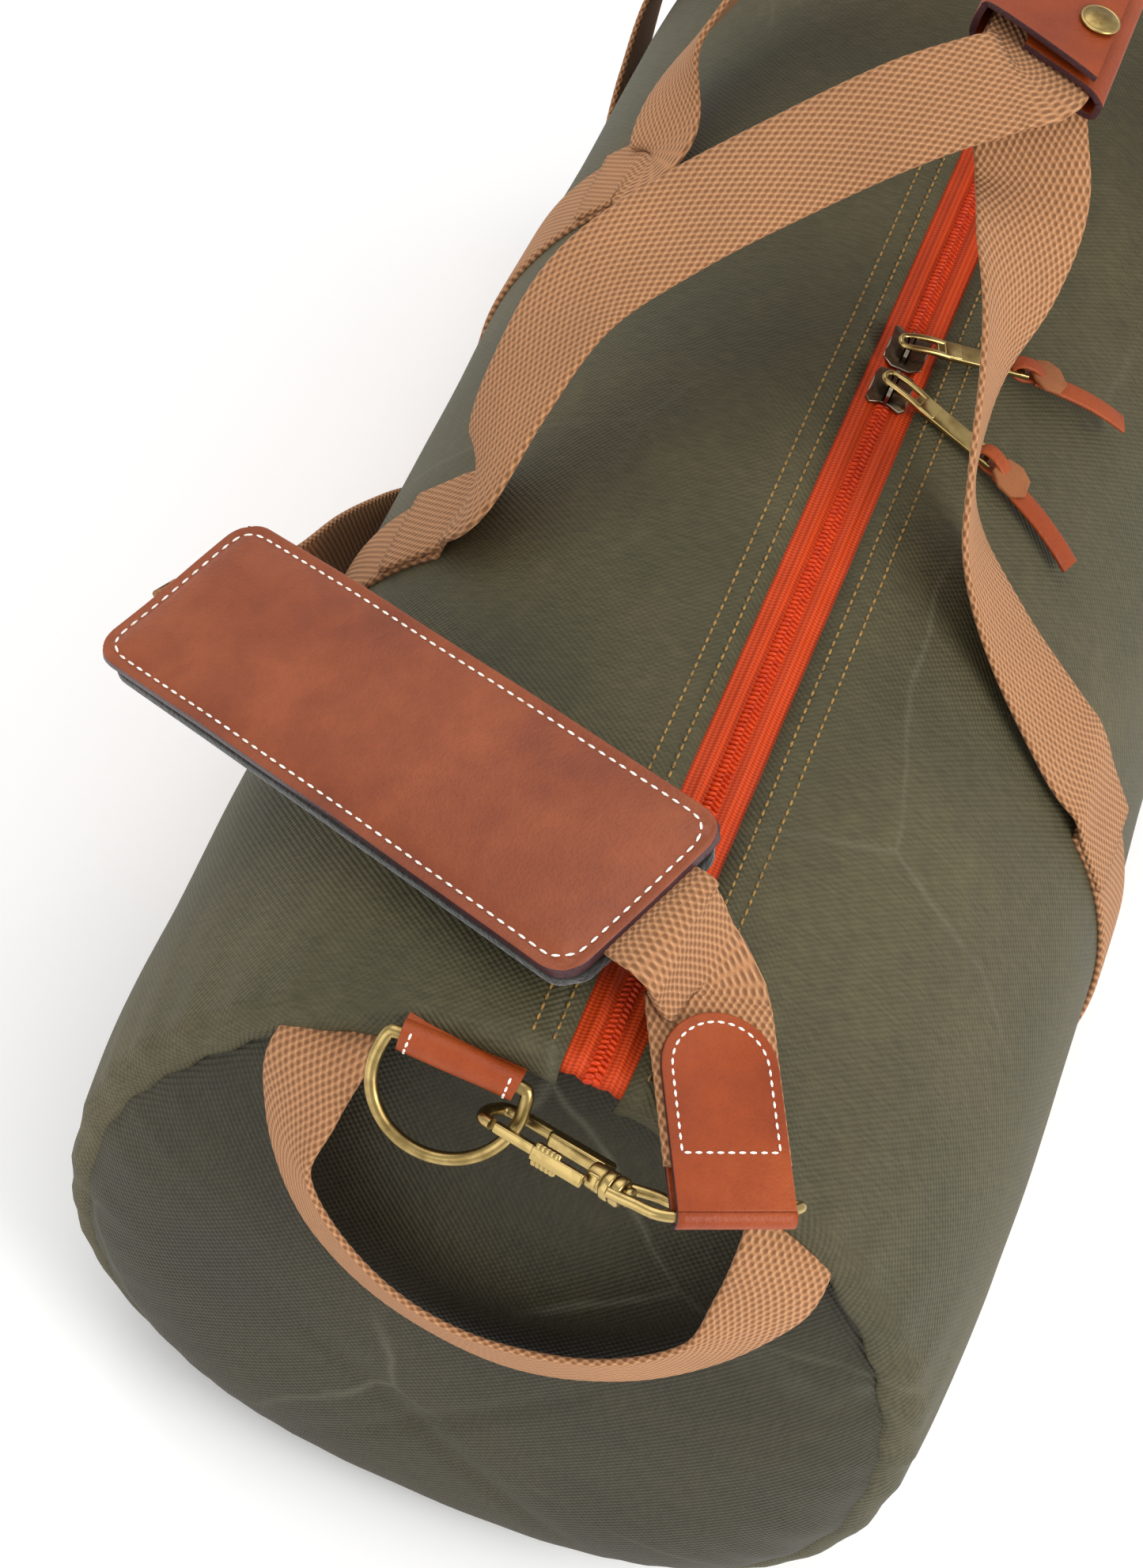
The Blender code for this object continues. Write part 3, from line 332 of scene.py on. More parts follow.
# %% [markdown]
# ## Antiqued brass
# Cast brass, dipped dark and then tumbled, so the dark stays in hollows and the raised faces
# shine through.

# %% Brass
def antiqued_brass(name, deep, mid, bright, rough=0.34):
    made, tree, shader = blank(name, metallic=1.0, roughness=rough)
    place = add(tree, "TexCoord").outputs["Object"]
    cloud = add(tree, "TexNoise", {"Vector": place, "Scale": 170.0, "Detail": 6.0, "Roughness": 0.6})
    raised = add(tree, "NewGeometry").outputs["Pointiness"]
    worn = add(tree, "MapRange", {"Value": raised, "From Min": 0.44, "From Max": 0.56})
    both = add(tree, "Math", {0: cloud.outputs["Fac"], 1: worn.outputs[0]}, operation="ADD")
    half = add(tree, "Math", {0: both.outputs[0], 1: 0.5}, operation="MULTIPLY")
    tone = add(tree, "ValToRGB", {"Fac": half.outputs[0]}, [(0.32, deep), (0.50, mid), (0.70, bright)])
    tree.links.new(tone.outputs["Color"], shader.inputs["Base Color"])
    gloss = add(tree, "MapRange", {"Value": half.outputs[0], "From Min": 0.3, "From Max": 0.7,
                                   "To Min": rough + 0.16, "To Max": rough - 0.08})
    tree.links.new(gloss.outputs[0], shader.inputs["Roughness"])
    bump = add(tree, "Bump", {"Height": cloud.outputs["Fac"], "Strength": 0.15, "Distance": 0.0003})
    tree.links.new(bump.outputs[0], shader.inputs["Normal"])
    return made


BRASS = antiqued_brass("antiqued_brass", "#33291a", "#725d35", "#ab945f")
GUNMETAL = antiqued_brass("blackened_brass", "#221d18", "#4d443a", "#8d8270", rough=0.30)

# %% [markdown]
# ## Zip cloth and coil
# The tape is tightly woven polyester with ribs along it; the coil is nylon of a redder orange.

# %% Zip materials
RIB = 0.0016


def zip_cloth():
    made, tree, shader = blank("zip_tape_cloth", roughness=0.6)
    laid = add(tree, "UVMap", uv_map="laid").outputs["UV"]
    cross = add(tree, "Mapping", {"Vector": laid, "Scale": (1 / 0.0012, 1 / RIB, 1)})
    apart = add(tree, "SeparateXYZ", {"Vector": cross.outputs[0]})
    rib = add(tree, "Math", {0: apart.outputs["Y"], 1: 0.5}, operation="PINGPONG")
    pick = add(tree, "Math", {0: apart.outputs["X"], 1: 0.5}, operation="PINGPONG")
    height = add(tree, "Math", {0: rib.outputs[0], 1: pick.outputs[0]}, operation="ADD")
    tone = add(tree, "ValToRGB", {"Fac": height.outputs[0]},
               [(0.1, "#8f2500"), (0.5, "#b43502"), (0.9, "#cb4606")])
    tree.links.new(tone.outputs["Color"], shader.inputs["Base Color"])
    bump = add(tree, "Bump", {"Height": height.outputs[0], "Strength": 0.5, "Distance": 0.0005})
    tree.links.new(bump.outputs[0], shader.inputs["Normal"])
    return made


def coil_nylon():
    made, tree, shader = blank("coil_nylon", roughness=0.35)
    place = add(tree, "TexCoord").outputs["Object"]
    fleck = add(tree, "TexNoise", {"Vector": place, "Scale": 500.0})
    tone = add(tree, "ValToRGB", {"Fac": fleck.outputs["Fac"]}, [(0.3, "#a82803"), (0.7, "#cc3d08")])
    tree.links.new(tone.outputs["Color"], shader.inputs["Base Color"])
    bump = add(tree, "Bump", {"Height": fleck.outputs["Fac"], "Strength": 0.2, "Distance": 0.0002})
    tree.links.new(bump.outputs[0], shader.inputs["Normal"])
    return made


ZIP_CLOTH, COIL = zip_cloth(), coil_nylon()


def plain_cloth(name, low, high, thread=0.0012):
    """The hidden cloths: lining, pocket and binding, in plain weave."""
    made, tree, shader = blank(name, roughness=0.9)
    laid = add(tree, "UVMap", uv_map="laid").outputs["UV"]
    height = weave(tree, laid, thread * 2, thread * 2)
    lift = add(tree, "MapRange", {"Value": height, "From Min": -1.0})
    tone = add(tree, "ValToRGB", {"Fac": lift.outputs[0]}, [(0.2, low), (0.8, high)])
    tree.links.new(tone.outputs["Color"], shader.inputs["Base Color"])
    bump = add(tree, "Bump", {"Height": lift.outputs[0], "Strength": 0.5, "Distance": 0.0004})
    tree.links.new(bump.outputs[0], shader.inputs["Normal"])
    return made


LINING = plain_cloth("lining_cotton", "#8f8772", "#b3aa92")
BINDING = plain_cloth("binding_tape", "#35322a", "#4c483c", thread=0.0016)
BOARD = plain_cloth("covered_board", "#1d1d1c", "#2c2c2a", thread=0.002)

# %% [markdown]
# ## Shaping helpers
# Soft pieces start as bmesh's own grid, which is then laid over a rule: a function gives each
# grid point its place in the bag and its place on the flat cloth, so a weave follows the cloth.

# %% Shaping helpers
def finish_piece(name, shape, materials, body, nodes=(), smooth=True, sharp=None):
    """Makes the bmesh an object that rides on body and stands for the given frame nodes."""
    mesh = bpy.data.meshes.new(name)
    shape.to_mesh(mesh)
    shape.free()
    for stuff in materials if isinstance(materials, (list, tuple)) else [materials]:
        mesh.materials.append(stuff)
    if smooth:
        mesh.shade_smooth()
    if sharp:
        mesh.set_sharp_from_angle(angle=math.radians(sharp))
    made = bpy.data.objects.new(name, mesh)
    bpy.context.scene.collection.objects.link(made)
    if body:
        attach(made, body)
    if nodes:
        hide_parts(*nodes)
    return made


def laid_grid(columns, rows, place, turn=False, join=False):
    """A bmesh grid laid by place(u, v), which returns a point and flat cloth coordinates."""
    shape = bmesh.new()
    layer = shape.loops.layers.uv.new("laid")
    bmesh.ops.create_grid(shape, x_segments=columns, y_segments=rows, size=0.5)
    flat = {}
    for vertex in shape.verts:
        point, cloth = place(vertex.co.x + 0.5, vertex.co.y + 0.5)
        vertex.co = point
        flat[vertex] = cloth
    for face in shape.faces:
        for loop in face.loops:
            loop[layer].uv = flat[loop.vert]
    if join:
        bmesh.ops.remove_doubles(shape, verts=shape.verts, dist=1e-6)
    shape.normal_update()
    if turn:
        bmesh.ops.reverse_faces(shape, faces=shape.faces)
    return shape


def smooth_path(knots, per_span, closed=False):
    """Points on a smooth curve through the knots."""
    knots = [Vector(k) for k in knots]
    count = len(knots)
    path = []
    for i in range(count if closed else count - 1):
        if closed:
            a, b, c, d = (knots[(i + k) % count] for k in (-1, 0, 1, 2))
        else:
            b, c = knots[i], knots[i + 1]
            a = knots[i - 1] if i else b * 2 - c
            d = knots[i + 2] if i + 2 < count else c * 2 - b
        for step in range(per_span):
            t = step / per_span
            path.append(0.5 * ((b * 2) + (c - a) * t + (a * 2 - b * 5 + c * 4 - d) * t * t
                               + (b * 3 - a - c * 3 + d) * t * t * t))
    if not closed:
        path.append(knots[-1])
    return path


def even_path(path, facing, step):
    """The path and its facings again, at even distances."""
    lengths = [0.0]
    for a, b in zip(path, path[1:]):
        lengths.append(lengths[-1] + (b - a).length)
    count = max(2, round(lengths[-1] / step))
    points, faces, k = [], [], 0
    for i in range(count + 1):
        want = lengths[-1] * i / count
        while k < len(path) - 2 and lengths[k + 1] < want:
            k += 1
        share = (want - lengths[k]) / max(1e-9, lengths[k + 1] - lengths[k])
        share = min(1.0, max(0.0, share))
        points.append(path[k].lerp(path[k + 1], share))
        faces.append(facing[k].lerp(facing[k + 1], share).normalized())
    return points, faces, lengths[-1]


def frames_on(points, faces, closed=False):
    """At each point of a path: the point, its side way and its face way, square to the path."""
    found = []
    last = len(points) - 1
    for i, point in enumerate(points):
        if closed:
            along = points[(i + 1) % len(points)] - points[i - 1]
        else:
            along = points[min(i + 1, last)] - points[max(i - 1, 0)]
        along.normalize()
        side = along.cross(faces[i]).normalized()
        found.append((point, side, side.cross(along)))
    return found


def rounded_bar(wide, thick, count=4):
    """The outline of a flat bar with round edges: (side, face) pairs, in order."""
    radius = thick / 2
    outline = []
    for sign, start in ((1, -90), (-1, 90)):
        for i in range(count + 1):
            turn = math.radians(start + 180 * i / count)
            outline.append((sign * (wide / 2 - radius) + math.cos(turn) * radius,
                            math.sin(turn) * radius))
    return outline


def swept(frames, outline, length, closed=False, caps=True, scale=None):
    """A bar of the given outline along frames, made from a grid joined round its seam."""
    columns, rows = len(frames) - (0 if closed else 1), len(outline)
    around = [0.0]
    for i in range(rows):
        a, b = outline[i], outline[(i + 1) % rows]
        around.append(around[-1] + math.dist(a, b))

    def place(u, v):
        i, j = round(u * columns), round(v * rows)
        point, side, face = frames[i % len(frames)]
        a, b = outline[j % rows]
        grow = scale(i / columns) if scale else (1.0, 1.0)
        return point + side * a * grow[0] + face * b * grow[1], (length * i / columns, around[j])

    shape = laid_grid(columns, rows, place, join=True)
    if caps and not closed:
        bmesh.ops.holes_fill(shape, edges=[e for e in shape.edges if e.is_boundary], sides=0)
    bmesh.ops.recalc_face_normals(shape, faces=shape.faces)
    return shape


def round_wire(knots, radius, per_span=6, sides=12, closed=False, facing=(0, 0, 1), scale=None):
    """A round wire through the knots."""
    path = smooth_path(knots, per_span, closed)
    ways = []
    way = Vector(facing)
    for i, point in enumerate(path):
        ahead = path[(i + 1) % len(path)] if closed or i + 1 < len(path) else point
        behind = path[i - 1] if closed or i else point
        along = (ahead - behind).normalized()
        way = (way - along * way.dot(along)).normalized()
        ways.append(way)
    outline = [(radius * math.cos(math.tau * k / sides), radius * math.sin(math.tau * k / sides))
               for k in range(sides)]
    return swept(frames_on(path, ways, closed), outline, 1.0, closed, scale=scale)


def slab(outline, depth, bevel=0.0, segments=2, start=0.0):
    """A flat outline pushed up by depth, with its edges rounded. It lies on the XY plane."""
    shape = bmesh.new()
    shape.loops.layers.uv.new("laid")
    corners = [shape.verts.new((a, b, start)) for a, b in outline]
    face = shape.faces.new(corners)
    pushed = bmesh.ops.extrude_face_region(shape, geom=[face])
    moved = [g for g in pushed["geom"] if isinstance(g, bmesh.types.BMVert)]
    bmesh.ops.translate(shape, verts=moved, vec=(0, 0, depth))
    bmesh.ops.recalc_face_normals(shape, faces=shape.faces)
    if bevel:
        rims = [e for e in shape.edges if abs(e.verts[0].co.z - e.verts[1].co.z) < 1e-9]
        bmesh.ops.bevel(shape, geom=rims, offset=bevel, segments=segments, profile=0.5,
                        affect="EDGES", material=-1)
    return shape


def put(shape, origin, across, up):
    """Moves a shape drawn on the XY plane so that X is across, Y is up and Z their product."""
    across = Vector(across).normalized()
    up = Vector(up)
    up = (up - across * up.dot(across)).normalized()
    matrix = Matrix((across, up, across.cross(up))).transposed().to_4x4()
    bmesh.ops.transform(shape, matrix=Matrix.Translation(origin) @ matrix, verts=shape.verts)
    return shape


def merged(*shapes):
    """Several bmeshes as one."""
    whole = bmesh.new()
    whole.loops.layers.uv.new("laid")
    for shape in shapes:
        held = bpy.data.meshes.new("held")
        shape.to_mesh(held)
        shape.free()
        whole.from_mesh(held)
        bpy.data.meshes.remove(held)
    return whole


def rounded(half_long, half_wide, corner, count=5):
    """A rectangle's outline with round corners."""
    outline = []
    for cx, cy, start in ((1, 1, 0), (-1, 1, 90), (-1, -1, 180), (1, -1, 270)):
        for i in range(count + 1):
            turn = math.radians(start + 90 * i / count)
            outline.append((cx * (half_long - corner) + corner * math.cos(turn),
                            cy * (half_wide - corner) + corner * math.sin(turn)))
    return outline


def disc(radius, count=28, centre=(0, 0)):
    return [(centre[0] + radius * math.cos(math.tau * i / count),
             centre[1] + radius * math.sin(math.tau * i / count)) for i in range(count)]


def stitches(name, runs, thread, body, pitch=0.0034, long=0.0025, radius=0.00036, sunk=0.0):
    """Rows of stitches: each run is a list of (point, face way) along a seam."""
    shape = bmesh.new()
    shape.loops.layers.uv.new("laid")
    total = 0
    for run in runs:
        points, faces, length = even_path([p for p, w in run], [w for p, w in run], pitch)
        for i in range(len(points) - 1):
            a, b = points[i], points[i + 1]
            along = (b - a).normalized()
            side = along.cross(faces[i]).normalized()
            face = side.cross(along)
            middle = (a + b) / 2 + face * (radius * 0.35 - sunk)
            turn = Matrix((along, side, face)).transposed().to_4x4()
            size = Matrix.Diagonal((long / 2, radius * 1.25, radius, 1))
            bmesh.ops.create_uvsphere(shape, u_segments=6, v_segments=4, radius=1,
                                      matrix=Matrix.Translation(middle) @ turn @ size)
            total += 1
    made = finish_piece(name, shape, thread, body)
    print(name, "holds", total, "stitches")
    return made


# %% [markdown]
# ## The canvas body
# The body is one sheet of canvas rolled into a barrel: round above, squarer below where it
# spreads on the floor, and drawn in a little by the end seams. Real cloth is never a clean
# tube, so soft swells run through it, it gathers in small puckers beside the end seams and the
# zip, and each end rolls over into its seam.

# %% The skin of the bag
SEAM, WIDTH, HEIGHT, BELLY = 0.300, 0.280, 0.256, 0.120
ZIP_HALF = 0.0100
ROLL = 0.0065


def swell(x, angle):
    """How far the cloth stands out from the clean barrel, in metres."""
    angle = math.remainder(angle, math.tau)
    around = Vector((x * 6.5, math.sin(angle) * 1.1, math.cos(angle) * 1.1))
    broad = noise.noise(around) * 0.0030 + noise.noise(around * 2.7 + Vector((3, 7, 1))) * 0.0011
    from_seam = SEAM - abs(x)
    gather = math.exp(-from_seam / 0.020) * 0.0008
    gather *= math.sin(angle * 38 + noise.noise(Vector((angle * 3, x * 9, 2))) * 4)
    side = abs(angle) * 0.14
    pucker = math.exp(-max(0.0, side - ZIP_HALF) / 0.014) * 0.0005 * math.sin(x * 210 + 2 * math.sin(x * 60))
    low = max(0.0, -math.cos(angle))
    return (broad + gather + pucker) * (1 - low) + 0.0004 * low


def skin(x, angle, out=0.0, soft=True):
    """A point of the bag's skin at x, angle from the top towards +Y, moved out by out."""
    def bare(turn):
        s, c = math.sin(turn), math.cos(turn)
        power, reach = (2.0, HEIGHT - BELLY) if c > 0 else (2.5, BELLY + 0.004)
        drawn = max(0.0, (abs(x) - (SEAM - 0.07)) / 0.07)
        wide = WIDTH / 2 * (1 - 0.045 * drawn * drawn)
        y = wide * math.copysign(abs(s) ** (2 / power), s)
        return Vector((x, y, BELLY + reach * math.copysign(abs(c) ** (2 / power), c)))

    here = bare(angle)
    along = (bare(angle + 0.02) - bare(angle - 0.02)).normalized()
    normal = Vector((0.0, along.z, -along.y))
    if normal.dot(here - Vector((x, 0, BELLY))) < 0:
        normal = -normal
    here += normal * (out + (swell(x, angle) if soft else 0.0))
    lifted = 0.0024 * min(1.0, max(0.0, 1.0 - (abs(abs(x) - 0.093) - 0.020) / 0.006))
    here.z = max(here.z, lifted + 0.0003)
    return here


def angle_at(y):
    return math.asin(y / (WIDTH / 2))


def skin_way(x, angle):
    """The way the skin faces."""
    a, b = skin(x, angle, 0.0, False), skin(x, angle, 0.01, False)
    return (b - a).normalized() if (b - a).length > 1e-6 else Vector((0, 0, -1))


# %% Canvas body
def end_roll(count=10):
    """Distances (x short of the seam, inward) along the roll of cloth into the end seam."""
    steps = []
    for i in range(1, count + 1):
        turn = math.radians(125 * i / count)
        steps.append((ROLL * (1 - math.sin(turn)), ROLL * (1 - math.cos(turn)) * 1.15))
    return steps


straight = [(-SEAM + ROLL) + (2 * (SEAM - ROLL)) * i / 232 for i in range(233)]
stations = [(-(SEAM - short), inward) for short, inward in reversed(end_roll())]
stations += [(x, 0.0) for x in straight]
stations += [(SEAM - short, inward) for short, inward in end_roll()]
cloth_x = [0.0]
for (a, b), (c, d) in zip(stations, stations[1:]):
    cloth_x.append(cloth_x[-1] + math.hypot(c - a, d - b))
AROUND = 150


def lay_body(u, v):
    i = round(u * (len(stations) - 1))
    x, inward = stations[i]
    edge = angle_at(ZIP_HALF)
    angle = edge + (math.tau - 2 * edge) * v
    from_zip = min(angle - edge, math.tau - edge - angle) * 0.14
    fold = 0.0013 * max(0.0, 1 - from_zip / 0.0028) ** 2
    point = skin(x, angle, -inward - fold)
    return point, (cloth_x[i], v * 0.80)


shape = laid_grid(len(stations) - 1, AROUND, lay_body)
canvas_body = finish_piece("canvas_body", shape, CANVAS_BODY, "bag", ["main_panel"])
wall = canvas_body.modifiers.new("cloth_thickness", "SOLIDIFY")
wall.thickness, wall.offset = 0.0011, -1
print("canvas body grid:", len(stations) - 1, "x", AROUND)

# %% [markdown]
# ## The end panels
# Each end is an oval of canvas sewn inside the rolled edge of the body. It starts in the groove
# behind the roll, swells out past it, and is dented by old creases: hollow below the zip, full
# lower down where the load pushes.

# %% End panels
PANEL_RIM = SEAM - 0.0070
PANEL_BULGE = 0.0300


def lay_end(side):
    middle = Vector((0, 0, HEIGHT / 2))

    def place(u, v):
        angle = math.tau * u
        share = v
        rim = skin(PANEL_RIM * side, angle, -0.0052)
        y, z = rim.y * share, middle.z + (rim.z - middle.z) * share
        sag = 1 / (1 + math.exp((z - 0.172) / 0.025))
        bulge = PANEL_BULGE * (0.14 + 0.86 * sag) * (1 - share ** 4.2) ** 0.62
        bulge -= 0.0060 * math.exp(-(1 - share) / 0.09) * (1 - sag)
        bulge -= 0.0040 * math.exp(-(y / 0.045) ** 2 - ((z - 0.215) / 0.018) ** 2) * (1 - share ** 8)
        lump = noise.noise(Vector((y * 9, z * 9, side * 3.0))) * 0.0026
        lump += noise.noise(Vector((y * 24, z * 24, side * 5.0))) * 0.0009
        fold = (0.0014 * math.exp(-((y * 0.55 - (z - 0.075) * 0.83) / 0.005) ** 2)
                * math.exp(-((y + 0.01) / 0.05) ** 2))
        fold += (0.0012 * math.exp(-((y * 0.8 + (z - 0.085) * 0.6) / 0.004) ** 2)
                 * math.exp(-((z - 0.09) / 0.04) ** 2))
        gather = (0.0006 * math.exp(-(1 - share) / 0.10)
                  * math.sin(angle * 39 + 3 * math.sin(angle * 5 + side)))
        stands = bulge + (lump - fold) * (1 - share ** 6) + gather * (1 - share ** 10)
        return Vector((side * (PANEL_RIM + stands), y, max(z, 0.0004))), (y + 0.2, z)

    return place


for side, end in ((-1, "near"), (1, "far")):
    shape = laid_grid(168, 72, lay_end(side), join=True)
    bmesh.ops.recalc_face_normals(shape, faces=shape.faces)
    front = Vector((side * 0.31, 0, 0.12))
    middle_face = min(shape.faces, key=lambda f: (f.calc_center_median() - front).length)
    if middle_face.normal.x * side < 0:
        bmesh.ops.reverse_faces(shape, faces=shape.faces)
    # the end panels get the darker canvas copy, whose tint is painted shade
    panel = finish_piece("end_canvas_" + end, shape, CANVAS_END_SHADED, "bag", ["end_panel_" + end])
    wall = panel.modifiers.new("cloth_thickness", "SOLIDIFY")
    wall.thickness, wall.offset = 0.0011, -1
print("end panels laid")

# %% [markdown]
# ## Inside the bag
# A cotton lining, a slip pocket, a stiff board on the bottom and bound seam edges sit inside
# the canvas. They hardly show, but they are there when the bag is cut open.

# %% Lining, pocket, bindings and board
def inner_sheet(name, low, high, first, last, depth, stuff, slot, node, columns=60, rows=60):
    def place(u, v):
        x, angle = low + (high - low) * u, first + (last - first) * v
        return skin(x, angle, -depth), (x, angle * 0.13)

    made = finish_piece(name, laid_grid(columns, rows, place), stuff, "bag", [node])
    wall = made.modifiers.new("cloth_thickness", "SOLIDIFY")
    wall.thickness, wall.offset = 0.0007, -1
    return made


lining_edge = angle_at(0.032)
inner_sheet("lining_cotton_shell", -0.287, 0.287, lining_edge, math.tau - lining_edge, 0.0052,
            LINING, "lining_cloth", "lining", 90, 90)
inner_sheet("slip_pocket", -0.11, 0.11, math.radians(62), math.radians(112), 0.0090,
            LINING, "pocket_cloth", "inner_pocket", 30, 20)
for side, end in ((-1, "near"), (1, "far")):
    inner_sheet("bound_seam_" + end, *sorted((side * 0.2828, side * 0.2925)), angle_at(0.028),
                math.tau - angle_at(0.028), 0.0030, BINDING, "binding_tape", "seam_binding_" + end, 8, 90)
shape = slab(rounded(0.262, 0.060, 0.012), 0.0022, bevel=0.0006, start=0.0095)
finish_piece("bottom_board", shape, BOARD, "bag", ["base_board"], sharp=40)
print("inside laid")

# %% [markdown]
# ## The zip
# Two orange tapes lie under the folded canvas edges, each with a nylon coil sewn along its
# inner edge. Each turn of the coil is its own small loop, so the two rows catch the light as a
# ridged stripe.

# %% Zip tapes and coils
ZIP_LEVEL = HEIGHT - 0.0016 - 0.0004 - 0.0004
TOOTH_PITCH = 0.0019


def zip_top(x, y):
    """The tape's height: it follows the body, with a ridge beside the coil."""
    angle = math.copysign(angle_at(abs(y)), y)
    clean = skin(x, angle, -0.0021, False).z
    follow = swell(x, math.copysign(angle_at(ZIP_HALF), y)) * min(1.0, abs(y) / ZIP_HALF)
    ridge = 0.0013 * math.exp(-((abs(y) - 0.0052) / 0.0013) ** 2)
    return clean + follow + ridge


def over_end(run, height):
    """Bends the end of the zip down over the roll of cloth at the bag's end."""
    beyond = abs(run) - (SEAM - ROLL)
    if beyond <= 0:
        return run, height
    bend = ROLL - 0.0021
    turn = min(beyond / bend, 2.0)
    return math.copysign(SEAM - ROLL + bend * math.sin(turn), run), height - bend * (1 - math.cos(turn))


for side, name in ((1, "left"), (-1, "right")):
    def lay_tape(u, v):
        run = (u - 0.5) * 2 * (SEAM + 0.0012)
        y = 0.0004 + (0.0235 - 0.0004) * v
        flat = max(-(SEAM - ROLL), min(SEAM - ROLL, run))
        x, z = over_end(run, zip_top(flat, side * y))
        return Vector((x, side * y, z)), (run, y)

    tape = finish_piece("zip_tape_cloth_" + name, laid_grid(220, 26, lay_tape, turn=side < 0),
                        ZIP_CLOTH, "bag", ["zip_tape_" + name])
    wall = tape.modifiers.new("cloth_thickness", "SOLIDIFY")
    wall.thickness, wall.offset = 0.0006, -1
    shape = bmesh.new()
    shape.loops.layers.uv.new("laid")
    count = int(2 * SEAM / TOOTH_PITCH)
    for i in range(count):
        run = -SEAM + TOOTH_PITCH * (i + (0.5 if side < 0 else 0.0))
        x, z = over_end(run, ZIP_LEVEL + 0.0004)
        lean = Matrix.Rotation(0.30 * side, 4, "Z")
        size = Matrix.Diagonal((0.00072, 0.0018, 0.00125, 1))
        bmesh.ops.create_uvsphere(shape, u_segments=8, v_segments=5, radius=1,
                                  matrix=Matrix.Translation((x, side * 0.0010, z)) @ lean @ size)
    finish_piece("zip_coil_turns_" + name, shape, COIL, "bag", ["zip_coil_" + name])
print("teeth a side:", count)

# %% [markdown]
# Two rows of tan stitching hold each canvas edge to its tape.

# %% Stitching along the zip
runs = []
for side in (1, -1):
    for away in (0.0045, 0.0108):
        angle = side * angle_at(ZIP_HALF + away)
        row = []
        for i in range(161):
            x = -(SEAM - 0.006) + 2 * (SEAM - 0.006) * i / 160
            row.append((skin(x, angle), skin_way(x, angle)))
        runs.append(row)
stitches("zip_stitching", runs, TAN_THREAD, "bag", pitch=0.0036, long=0.0029)

# %% [markdown]
# ## Webbing
# A strap is a flat bar with soft round edges, swept along its route. Each knot of a route has
# a point and the way the strap's face looks there, which is what gives the twists.

# %% Webbing helper, bands
STRAP_WIDE, STRAP_THICK = 0.038, 0.0022


def strap(name, route, body, nodes, wide=STRAP_WIDE, thick=STRAP_THICK, step=0.0030, crown=0.0):
    """Webbing along a route of (point, face way) knots."""
    path = smooth_path([p for p, w in route], 10)
    ways = smooth_path([Vector(w).normalized() for p, w in route], 10)
    points, faces, length = even_path(path, ways, step)
    outline = []
    half = wide / 2 - thick / 2
    for sign, start in ((1, -90), (-1, 90)):
        for i in range(5):
            turn = math.radians(start + 180 * i / 4)
            outline.append((sign * half + math.cos(turn) * thick / 2, math.sin(turn) * thick / 2))
        for i in range(1, 6):
            a = sign * half * (1 - i / 3)
            outline.append((a, sign * thick / 2 + crown * (1 - (a / half) ** 2)))
    shape = swept(frames_on(points, faces), outline, length)
    made = finish_piece(name, shape, WEBBING, body, nodes)
    print(name, "is", round(length, 3), "m of webbing")
    return made


for side, end in ((-1, "near"), (1, "far")):
    low, high = math.radians(50), math.tau - math.radians(50)
    middle = side * 0.093

    def lay_band(u, v):
        angle = low + (high - low) * u
        edge = abs(v - 0.5) * 2
        x = middle + (v - 0.5) * STRAP_WIDE
        rise = 0.0021 - 0.0007 * max(0.0, edge - 0.9) / 0.1
        return skin(x, angle, rise), (angle * 0.136, v * STRAP_WIDE)

    shape = laid_grid(150, 20, lay_band, turn=True)
    band = finish_piece("band_webbing_" + end, shape, WEBBING, "bag", ["band_" + end])
    wall = band.modifiers.new("webbing_thickness", "SOLIDIFY")
    wall.thickness, wall.offset = 0.0019, -1

# %% [markdown]
# The two carrying handles rise from the bands, twist, and meet in the leather wrap. They belong
# to the bag at their feet and to the wrap at their tops, so they are attached to neither.

# %% Carrying handles
GRIP_X, GRIP_Z, GRIP_LONG = 0.105, 0.34739, 0.106


def handle_route(side, level, near_leg, far_leg):
    def foot(x, above, out):
        return skin(x, side * (math.radians(54) - above), out), (0.0, side * 0.8, 0.6)

    half = GRIP_LONG / 2
    route = [foot(-0.093, -0.10, 0.0034), foot(-0.093, 0.04, 0.0036), foot(-0.093, 0.13, 0.0060)]
    route += near_leg
    route += [((GRIP_X + shift, 0, level), (0, 0, 1))
              for shift in (-half - 0.004, -half * 0.4, half * 0.4, half + 0.004)]
    route += far_leg
    route += [foot(0.093, 0.13, 0.0060), foot(0.093, 0.04, 0.0036), foot(0.093, -0.10, 0.0034)]
    return [(Vector(p), Vector(w)) for p, w in route]


left_near = [((-0.098, 0.1060, 0.2380), (-0.3, 0.85, 0.4)), ((-0.082, 0.1050, 0.2620), (-0.5, 0.75, 0.4)),
             ((-0.054, 0.0990, 0.2840), (-0.55, 0.6, 0.58)), ((-0.028, 0.0810, 0.3010), (-0.45, 0.45, 0.75)),
             ((0.002, 0.0540, 0.3190), (-0.35, 0.3, 0.88)), ((0.021, 0.0294, 0.3382), (-0.28, 0.12, 0.95)),
             ((0.0375, 0.0080, 0.3487), (-0.15, 0.0, 0.99))]
left_far = [((0.184, 0.0060, 0.3500), (0.15, 0.0, 1.0)), ((0.202, 0.0400, 0.3330), (0.65, 0.4, 0.6)),
            ((0.184, 0.0830, 0.2860), (0.6, 0.65, 0.45)), ((0.128, 0.1110, 0.238), (0.35, 0.8, 0.45))]
